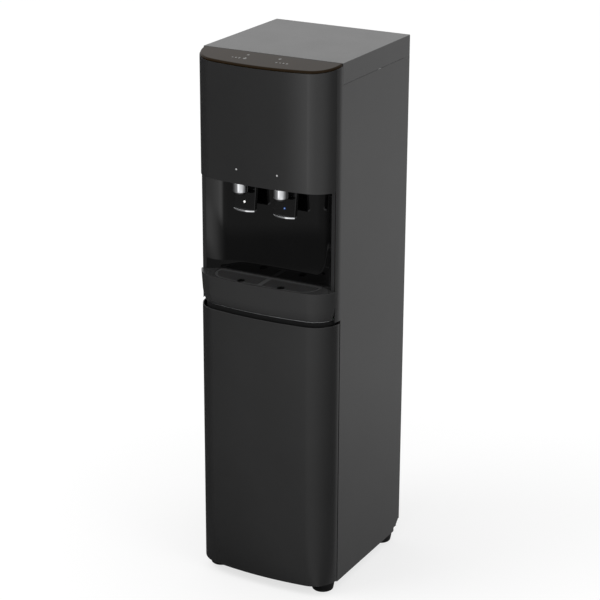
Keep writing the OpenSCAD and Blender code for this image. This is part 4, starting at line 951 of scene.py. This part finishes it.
def nozzle_sleeve(sizes, side):
    """A chrome sleeve with a turned lower edge, its stem and bore."""
    bm = bmesh.new()
    low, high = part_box("nozzle_" + side)
    radius = (high.x - low.x) / 2
    shoulder = COVER_LOW.z - low.z - sizes.gap
    top = high.z - low.z
    mouth, stem, bore = 0.0072, 0.008, 0.004
    turned(bm, [(mouth, 0.0), (radius - 0.0022, 0.0), (radius - 0.0006, 0.0007), (radius, 0.0022),
                (radius, shoulder), (stem, shoulder), (stem, top), (bore, top), (bore, bore),
                (mouth, bore), (mouth, 0.0)], foot_of(low, high))
    piece = add_piece(bm, "nozzle_sleeve_" + side, "chrome", nodes=["nozzle_" + side])
    soften(piece, sizes.edge / 2, 2)


def nozzle_outlet(sizes, side):
    """The black outlet under a sleeve, with a stepped rim."""
    bm = bmesh.new()
    low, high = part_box("nozzle_tip_" + side)
    radius = (high.x - low.x) / 2
    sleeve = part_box("nozzle_" + side)[0].z - low.z - 0.00005
    top = high.z - low.z
    bore, collar = 0.005, 0.007
    turned(bm, [(bore, 0.0), (radius - 0.0035, 0.0), (radius - 0.0022, 0.0016), (radius - 0.0012, 0.0016),
                (radius, 0.0032), (radius, sleeve), (collar, sleeve), (collar, top), (bore, top),
                (bore, 0.0)], foot_of(low, high))
    piece = add_piece(bm, "nozzle_outlet_" + side, "satin_black", nodes=["nozzle_tip_" + side])
    soften(piece, sizes.edge / 3, 2)


def mark_painted_glint(sizes):
    """The painted glint at the middle of the blue mark: a low, light dome with a flat rim, which glows."""
    bm = bmesh.new()
    low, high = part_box("lever_mark_right")
    radius = (high.x - low.x) * PAINTED_GLINT_SHARE
    outline = [(0.0, 0.0), (radius, 0.0), (radius, radius * 0.15), (radius * 0.7, radius * 0.35),
               (radius * 0.35, radius * 0.45), (0.0, radius * 0.48)]
    turned(bm, outline, (0.0, 0.0, 0.0), steps=DOT_STEPS)
    middle = (low + high) / 2
    tilt(bm, math.pi / 2 - LEVER_LEAN, "X")
    front = low.y + (high.z - low.z) / 2 * math.sin(LEVER_LEAN)
    shift(bm, (middle.x, front - sizes.icon_height, middle.z))
    # The glint is a painted highlight that glows
    piece = add_piece(bm, "blue_mark_glint", "blue_lens", "lever_right_body", finish="blue_painted_glint")
    soften(piece, 0.0)


def cover_light(sizes):
    """The two small light pipes above the taps."""
    bm = bmesh.new()
    low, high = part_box("cover_lights")
    radius = (high.z - low.z) / 2
    plan = body_plan(sizes)
    across = high.x - radius
    face = plan.wide_centre[1] - math.sqrt(plan.wide ** 2 - across ** 2)
    deep = high.y - low.y
    outline = [(0.0, 0.0), (radius * 0.55, 0.0), (radius * 0.86, 0.00025), (radius, 0.0008), (radius, deep),
               (0.0, deep)]
    turned(bm, outline, (0.0, 0.0, 0.0), steps=DOT_STEPS)
    tilt(bm, -math.pi / 2, "X")
    shift(bm, (across, face - sizes.light_proud, (low.z + high.z) / 2))
    mirror_half(bm)
    piece = add_piece(bm, "cover_light_lenses", "white_lens", nodes=["cover_lights"], finish="frosted_lens")
    soften(piece, 0.0)


def levelling_foot(sizes, node):
    """A round foot with a ribbed flank and its threaded stud."""
    bm = bmesh.new()
    low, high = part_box(node)
    wide = (high.x - low.x) / 2
    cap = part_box("base_pan")[0].z - low.z - sizes.gap
    top = high.z - low.z
    pad = 0.004
    foot = wide - 0.0035
    outline = [(0.0, 0.0), (foot - 0.001, 0.0), (foot, 0.001), (foot + 0.0008, pad),
               (foot - 0.0006, pad + 0.0006), (foot - 0.0004, pad + 0.0016), (foot + 0.0012, pad + 0.0022),
               (wide - 0.0004, cap - 0.002), (wide, cap - 0.0008), (wide - 0.0008, cap), (0.004, cap)]
    crest, root, turns = 0.004, 0.0035, 5
    pitch = (top - cap) / turns
    for i in range(turns):
        outline += [(crest, cap + pitch * i), (root, cap + pitch * (i + 0.5))]
    outline += [(root, top), (0.0, top)]
    turned(bm, outline, foot_of(low, high), steps=FOOT_STEPS)
    piece = add_piece(bm, node.replace("foot_", "foot_pad_"), "rubber", body_of(node), [node])
    soften(piece, 0.0)


# Operators


class Piece:
    """What every step's operator shares"""

    bl_options = {"REGISTER", "UNDO"}


class COOLER_OT_finishes(Piece, bpy.types.Operator):
    """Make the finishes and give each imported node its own"""

    bl_idname = "cooler.finishes"
    bl_label = "Finishes"

    def execute(self, context):
        make_finishes(context.scene.cooler_colours)
        for node, item in frame["nodes"].items():
            item.data.materials.clear()
            item.data.materials.append(finish_of(slot_of(node)))
        return {"FINISHED"}


class COOLER_OT_covers(Piece, bpy.types.Operator):
    """Make the upper cover and the lower panel"""

    bl_idname = "cooler.covers"
    bl_label = "Front covers"

    def execute(self, context):
        sizes = context.scene.cooler_sizes
        cover_shell(sizes)
        lower_shell(sizes)
        return {"FINISHED"}


class COOLER_OT_sheets(Piece, bpy.types.Operator):
    """Make the two side sheets, the back, the base and the band between tray and lower panel"""

    bl_idname = "cooler.sheets"
    bl_label = "Steel sheets"

    def execute(self, context):
        sizes = context.scene.cooler_sizes
        for side in SIDES:
            side_sheet(sizes, side)
        refined("back_panel", "back_sheet", width=0.0003)
        refined("base_pan", "base_tray", width=0.0003)
        refined("mid_frame", "middle_band", width=0.0002, finish="band_satin")
        return {"FINISHED"}


class COOLER_OT_top(Piece, bpy.types.Operator):
    """Make the lid, the display glass with its icons, and the small lights"""

    bl_idname = "cooler.top"
    bl_label = "Lid and display"

    def execute(self, context):
        sizes = context.scene.cooler_sizes
        lid_shell(sizes)
        display_glass(sizes)
        glass_icons(sizes)
        cover_light(sizes)
        return {"FINISHED"}


class COOLER_OT_alcove(Piece, bpy.types.Operator):
    """Make the liner with its trims, the drip tray and its grille"""

    bl_idname = "cooler.alcove"
    bl_label = "Alcove and tray"

    def execute(self, context):
        sizes = context.scene.cooler_sizes
        alcove_liner(sizes)
        liner_trims(sizes)
        drip_tray(sizes)
        slats = refined("tray_grille", "grille_slats", width=0.0004, finish="grille_painted_light")
        # The grille's walls and undersides get near black as painted shade
        paint_shade_on_walls(slats, "satin_black")
        return {"FINISHED"}


class COOLER_OT_taps(Piece, bpy.types.Operator):
    """Make the nozzles, levers, lips and marks"""

    bl_idname = "cooler.taps"
    bl_label = "Taps"

    def execute(self, context):
        sizes = context.scene.cooler_sizes
        for side in SIDES:
            lever_paddle(sizes, side)
            nozzle_sleeve(sizes, side)
            nozzle_outlet(sizes, side)
            facet(refined("lever_lip_" + side, "lip_" + side, width=0.0003))
            refined("lever_mark_" + side, "mark_" + side, width=0.0005, segments=3)
        mark_painted_glint(sizes)
        return {"FINISHED"}


class COOLER_OT_feet(Piece, bpy.types.Operator):
    """Make the four levelling feet and the front glides"""

    bl_idname = "cooler.feet"
    bl_label = "Feet"

    def execute(self, context):
        sizes = context.scene.cooler_sizes
        for end in ("front", "rear"):
            for side in SIDES:
                levelling_foot(sizes, f"foot_{end}_{side}")
        refined("front_glides", "glide_pads", width=0.0008)
        return {"FINISHED"}


class COOLER_OT_rear(Piece, bpy.types.Operator):
    """Refine what shows at the back: condenser, clips, screws, socket and inlet"""

    bl_idname = "cooler.rear"
    bl_label = "Rear fittings"

    def execute(self, context):
        refined("condenser", "condenser_coil", width=0.0002)
        refined("condenser_clips", "condenser_holders", width=0.0006)
        refined("rear_screws", "screw_heads", width=0.0006, segments=3)
        refined("power_inlet", "appliance_socket", width=0.0004)
        refined("inlet_fitting", "push_fitting", width=0.0004)
        return {"FINISHED"}


# The studio. SENSOR is the width of the camera's sensor in millimetres. The floor and the card that
# reflections see are both GROUND wide, and the card lies a little over the floor
SENSOR = 36.0
GROUND = 60.0
CARD_LEVEL = 0.002
LAMP_TARGET = (0.0, 0.0, 0.6)
KEY_PLACE, KEY_WIDTH = (-1.6, -1.5, 2.7), 1.8
FILL_PLACE, FILL_WIDTH = (2.4, -0.8, 1.9), 1.6
# Base colours of the floor: its two drifting tones, and the part of them that the seen floor scatters
FLOOR_TONES = (0.86, 0.88)
FLOOR_SEEN = 0.34
# Distances from the middle between which the seen floor's own light grows
GLOW_NEAR, GLOW_FAR = 0.25, 1.5


def grey(level):
    return (level, level, level, 1.0)


def ray_kind(tree):
    """One where a ray shows the surroundings themselves: to the camera, in a reflection or through glass."""
    path = new_node(tree, "LightPath").outputs
    direct = math_in(tree, "MAXIMUM", path["Is Camera Ray"], path["Is Glossy Ray"])
    return math_in(tree, "MAXIMUM", direct, path["Is Transmission Ray"])


def make_world(stage):
    """White where rays show it, and a plain level of light on everything else."""
    world = bpy.data.worlds.new("Studio")
    bpy.context.scene.world = world
    world.use_nodes = True
    tree = world.node_tree
    tree.nodes.clear()
    plain = new_node(tree, "Background", {"Color": grey(1.0), "Strength": stage.ambient})
    seen = new_node(tree, "Background", {"Color": grey(1.0), "Strength": 1.0})
    mix = new_node(tree, "MixShader", {"Fac": ray_kind(tree), 1: plain.outputs[0], 2: seen.outputs[0]})
    new_node(tree, "OutputWorld", {"Surface": mix.outputs[0]})


def flat_stage(name, level, material):
    bm = bmesh.new()
    bmesh.ops.create_grid(bm, x_segments=2, y_segments=2, size=GROUND / 2)
    shift(bm, (0, 0, level))
    mesh = bpy.data.meshes.new(name)
    bm.to_mesh(mesh)
    bm.free()
    mesh.materials.append(material)
    item = bpy.data.objects.new(name, mesh)
    bpy.context.scene.collection.objects.link(item)
    return item


def floor_material(stage):
    """A pale floor that glows a little where rays show it, and keeps the cooler's shadow there."""
    material, tree, shader = new_material("pale_floor")
    place = place_in(tree)
    tones = group_node(tree, "Tone drift", place, Scale=1.5, Tone_A=grey(FLOOR_TONES[0]),
                       Tone_B=grey(FLOOR_TONES[1]))
    tree.links.new(tones.outputs["Color"], shader.inputs["Base Color"])
    shader.inputs["Roughness"].default_value = 1.0
    shader.inputs["Specular IOR Level"].default_value = 0.0
    seen = new_node(tree, "BsdfDiffuse", {"Color": grey(FLOOR_SEEN)})
    away = new_node(tree, "VectorMath", {0: place}, operation="LENGTH").outputs["Value"]
    strength = spread_in(tree, away, GLOW_NEAR, GLOW_FAR, stage.floor_near, stage.floor_far)
    glow = new_node(tree, "Emission", {"Strength": strength})
    add = new_node(tree, "AddShader", {0: seen.outputs[0], 1: glow.outputs[0]})
    mix = new_node(tree, "MixShader", {"Fac": ray_kind(tree), 1: shader.outputs[0], 2: add.outputs[0]})
    tree.links.new(mix.outputs[0], tree.nodes["Material Output"].inputs["Surface"])
    return material


# How bright polished surfaces see the room, as (compass, brightness) pairs. The compass is in degrees, from
# the front to the right, round the cabinet's front right corner
AT_FEET = ((-180, 0.20), (-120, 0.03), (-80, 0.04), (-60, 0.14), (-44, 0.20), (-21, 0.24), (-12, 0.32),
           (2, 0.38), (25, 0.36), (49, 0.28), (75, 0.16), (105, 0.09), (128, 0.12), (145, 0.28), (180, 0.27))
MIDDLE = ((-180, 0.35), (-120, 0.03), (-80, 0.04), (-60, 0.17), (-44, 0.30), (-28, 0.35), (-18, 0.41),
          (-10, 0.55), (2, 0.58), (25, 0.52), (49, 0.40), (75, 0.25), (105, 0.10), (128, 0.12), (143, 0.55),
          (180, 0.53))
ALCOVE = ((-180, 0.40), (-120, 0.02), (-80, 0.03), (-60, 0.10), (-30, 0.12), (-20, 0.19), (-8, 0.34),
          (11, 0.72), (31, 1.00), (51, 0.88), (75, 0.30), (111, 0.08), (128, 0.12), (143, 0.60), (180, 0.56))
FAR_OFF = ((-180, 0.45), (-120, 0.03), (-80, 0.05), (-60, 0.14), (-44, 0.18), (-30, 0.25), (-21, 0.28),
           (-17, 0.62), (-13, 1.10), (-7, 1.30), (2, 1.05), (25, 0.80), (49, 0.68), (70, 0.47), (85, 0.26),
           (105, 0.13), (128, 0.15), (143, 0.63), (180, 0.61))
# The rings that blend into each other, with their distances from that corner in metres
ROOM = ((0.1, AT_FEET), (1.3, MIDDLE), (1.8, MIDDLE), (2.0, ALCOVE), (2.3, ALCOVE), (2.45, FAR_OFF))


def ring_of(tree, compass, levels):
    """The brightness round one ring of the room."""
    ramp = new_node(tree, "ValToRGB", {"Fac": compass})
    stops = ramp.color_ramp.elements
    stops.remove(stops[-1])
    for i, (degrees, level) in enumerate(levels):
        at = (degrees + 180) / 360
        stop = stops[0] if i == 0 else stops.new(at)
        stop.position = at
        stop.color = grey(level)
    return ramp.outputs["Color"]


def room_material():
    """A card that only reflections see: dark at the front left, bright at the back and the right."""
    material, tree, _ = new_material("room_card")
    tree.nodes.clear()
    corner = (HALF_WIDTH, COVER_LOW.y, 0.0)
    subtract = new_node(tree, "VectorMath", {0: place_in(tree), 1: corner}, operation="SUBTRACT")
    from_corner = subtract.outputs["Vector"]
    parts = new_node(tree, "SeparateXYZ", {0: from_corner}).outputs
    turn = math_in(tree, "ARCTAN2", parts["X"], math_in(tree, "MULTIPLY", parts["Y"], -1.0))
    compass = spread_in(tree, turn, -math.pi, math.pi, 0.0, 1.0)
    away = new_node(tree, "VectorMath", {0: from_corner}, operation="LENGTH").outputs["Value"]
    level = ring_of(tree, compass, ROOM[0][1])
    for (near, _), (far, levels) in zip(ROOM, ROOM[1:]):
        share = spread_in(tree, away, near, far, 0.0, 1.0)
        level = mix_in(tree, share, level, ring_of(tree, compass, levels))
    glow = new_node(tree, "Emission", {"Color": level})
    new_node(tree, "OutputMaterial", {"Surface": glow.outputs[0]})
    return material


def add_camera(stage):
    yaw, pitch, roll = stage.yaw, stage.pitch, stage.roll
    ahead = Vector((-math.sin(yaw) * math.cos(pitch), math.cos(yaw) * math.cos(pitch), -math.sin(pitch)))
    right = Vector((math.cos(yaw), math.sin(yaw), 0.0))
    up = right.cross(ahead)
    side = right * math.cos(roll) + up * math.sin(roll)
    top = up * math.cos(roll) - right * math.sin(roll)
    camera = bpy.data.cameras.new("Camera")
    camera.lens = stage.lens
    camera.sensor_width = SENSOR
    item = bpy.data.objects.new("Camera", camera)
    turn = Matrix((side, top, -ahead)).transposed().to_4x4()
    item.matrix_world = Matrix.Translation(Vector(stage.place)) @ turn
    bpy.context.scene.collection.objects.link(item)
    bpy.context.scene.camera = item


def add_lamp(name, watts, width, location):
    """A round lamp that looks at the cooler and shows in no picture or reflection."""
    lamp = bpy.data.lights.new(name, "AREA")
    lamp.shape = "DISK"
    lamp.size = width
    lamp.energy = watts
    item = bpy.data.objects.new(name, lamp)
    turn = (Vector(LAMP_TARGET) - Vector(location)).to_track_quat("-Z", "Y")
    item.matrix_world = Matrix.Translation(location) @ turn.to_matrix().to_4x4()
    item.visible_glossy = False
    item.visible_camera = False
    bpy.context.scene.collection.objects.link(item)


class COOLER_OT_stage(Piece, bpy.types.Operator):
    """Set up the camera, the lamps, the pale floor and the room that reflections see"""

    bl_idname = "cooler.stage"
    bl_label = "Studio"

    def execute(self, context):
        stage = context.scene.cooler_stage
        context.scene.view_settings.view_transform = "Standard"
        add_camera(stage)
        make_world(stage)
        flat_stage("floor", 0.0, floor_material(stage))
        card = flat_stage("room_card", CARD_LEVEL, room_material())
        card.visible_camera = False
        card.visible_diffuse = False
        card.visible_transmission = False
        card.visible_shadow = False
        add_lamp("key", stage.key_watts, KEY_WIDTH, KEY_PLACE)
        add_lamp("fill", stage.fill_watts, FILL_WIDTH, FILL_PLACE)
        return {"FINISHED"}


class COOLER_PT_panel(bpy.types.Panel):
    """Steps of the water cooler, in order"""

    bl_label = "Water cooler"
    bl_idname = "COOLER_PT_panel"
    bl_space_type = "VIEW_3D"
    bl_region_type = "UI"
    bl_category = "Water cooler"

    def draw(self, context):
        for step in STEPS:
            self.layout.operator(step.bl_idname)
        for group in (context.scene.cooler_sizes, context.scene.cooler_colours, context.scene.cooler_stage):
            box = self.layout.box()
            for name in group.__annotations__:
                box.prop(group, name)


STEPS = (COOLER_OT_finishes, COOLER_OT_covers, COOLER_OT_sheets, COOLER_OT_top, COOLER_OT_alcove,
         COOLER_OT_taps, COOLER_OT_feet, COOLER_OT_rear, COOLER_OT_stage)
GROUPS = (CoolerSizes, CoolerColours, CoolerStage)
CLASSES = GROUPS + STEPS + (COOLER_PT_panel,)


def register():
    for item in CLASSES:
        bpy.utils.register_class(item)
    bpy.types.Scene.cooler_sizes = PointerProperty(type=CoolerSizes)
    bpy.types.Scene.cooler_colours = PointerProperty(type=CoolerColours)
    bpy.types.Scene.cooler_stage = PointerProperty(type=CoolerStage)


def unregister():
    del bpy.types.Scene.cooler_stage
    del bpy.types.Scene.cooler_colours
    del bpy.types.Scene.cooler_sizes
    for item in reversed(CLASSES):
        bpy.utils.unregister_class(item)


def main():
    register()
    bpy.ops.cooler.finishes()
    bpy.ops.cooler.covers()
    bpy.ops.cooler.sheets()
    bpy.ops.cooler.top()
    bpy.ops.cooler.alcove()
    bpy.ops.cooler.taps()
    bpy.ops.cooler.feet()
    bpy.ops.cooler.rear()
    bpy.ops.cooler.stage()


if __name__ == "__main__":
    main()
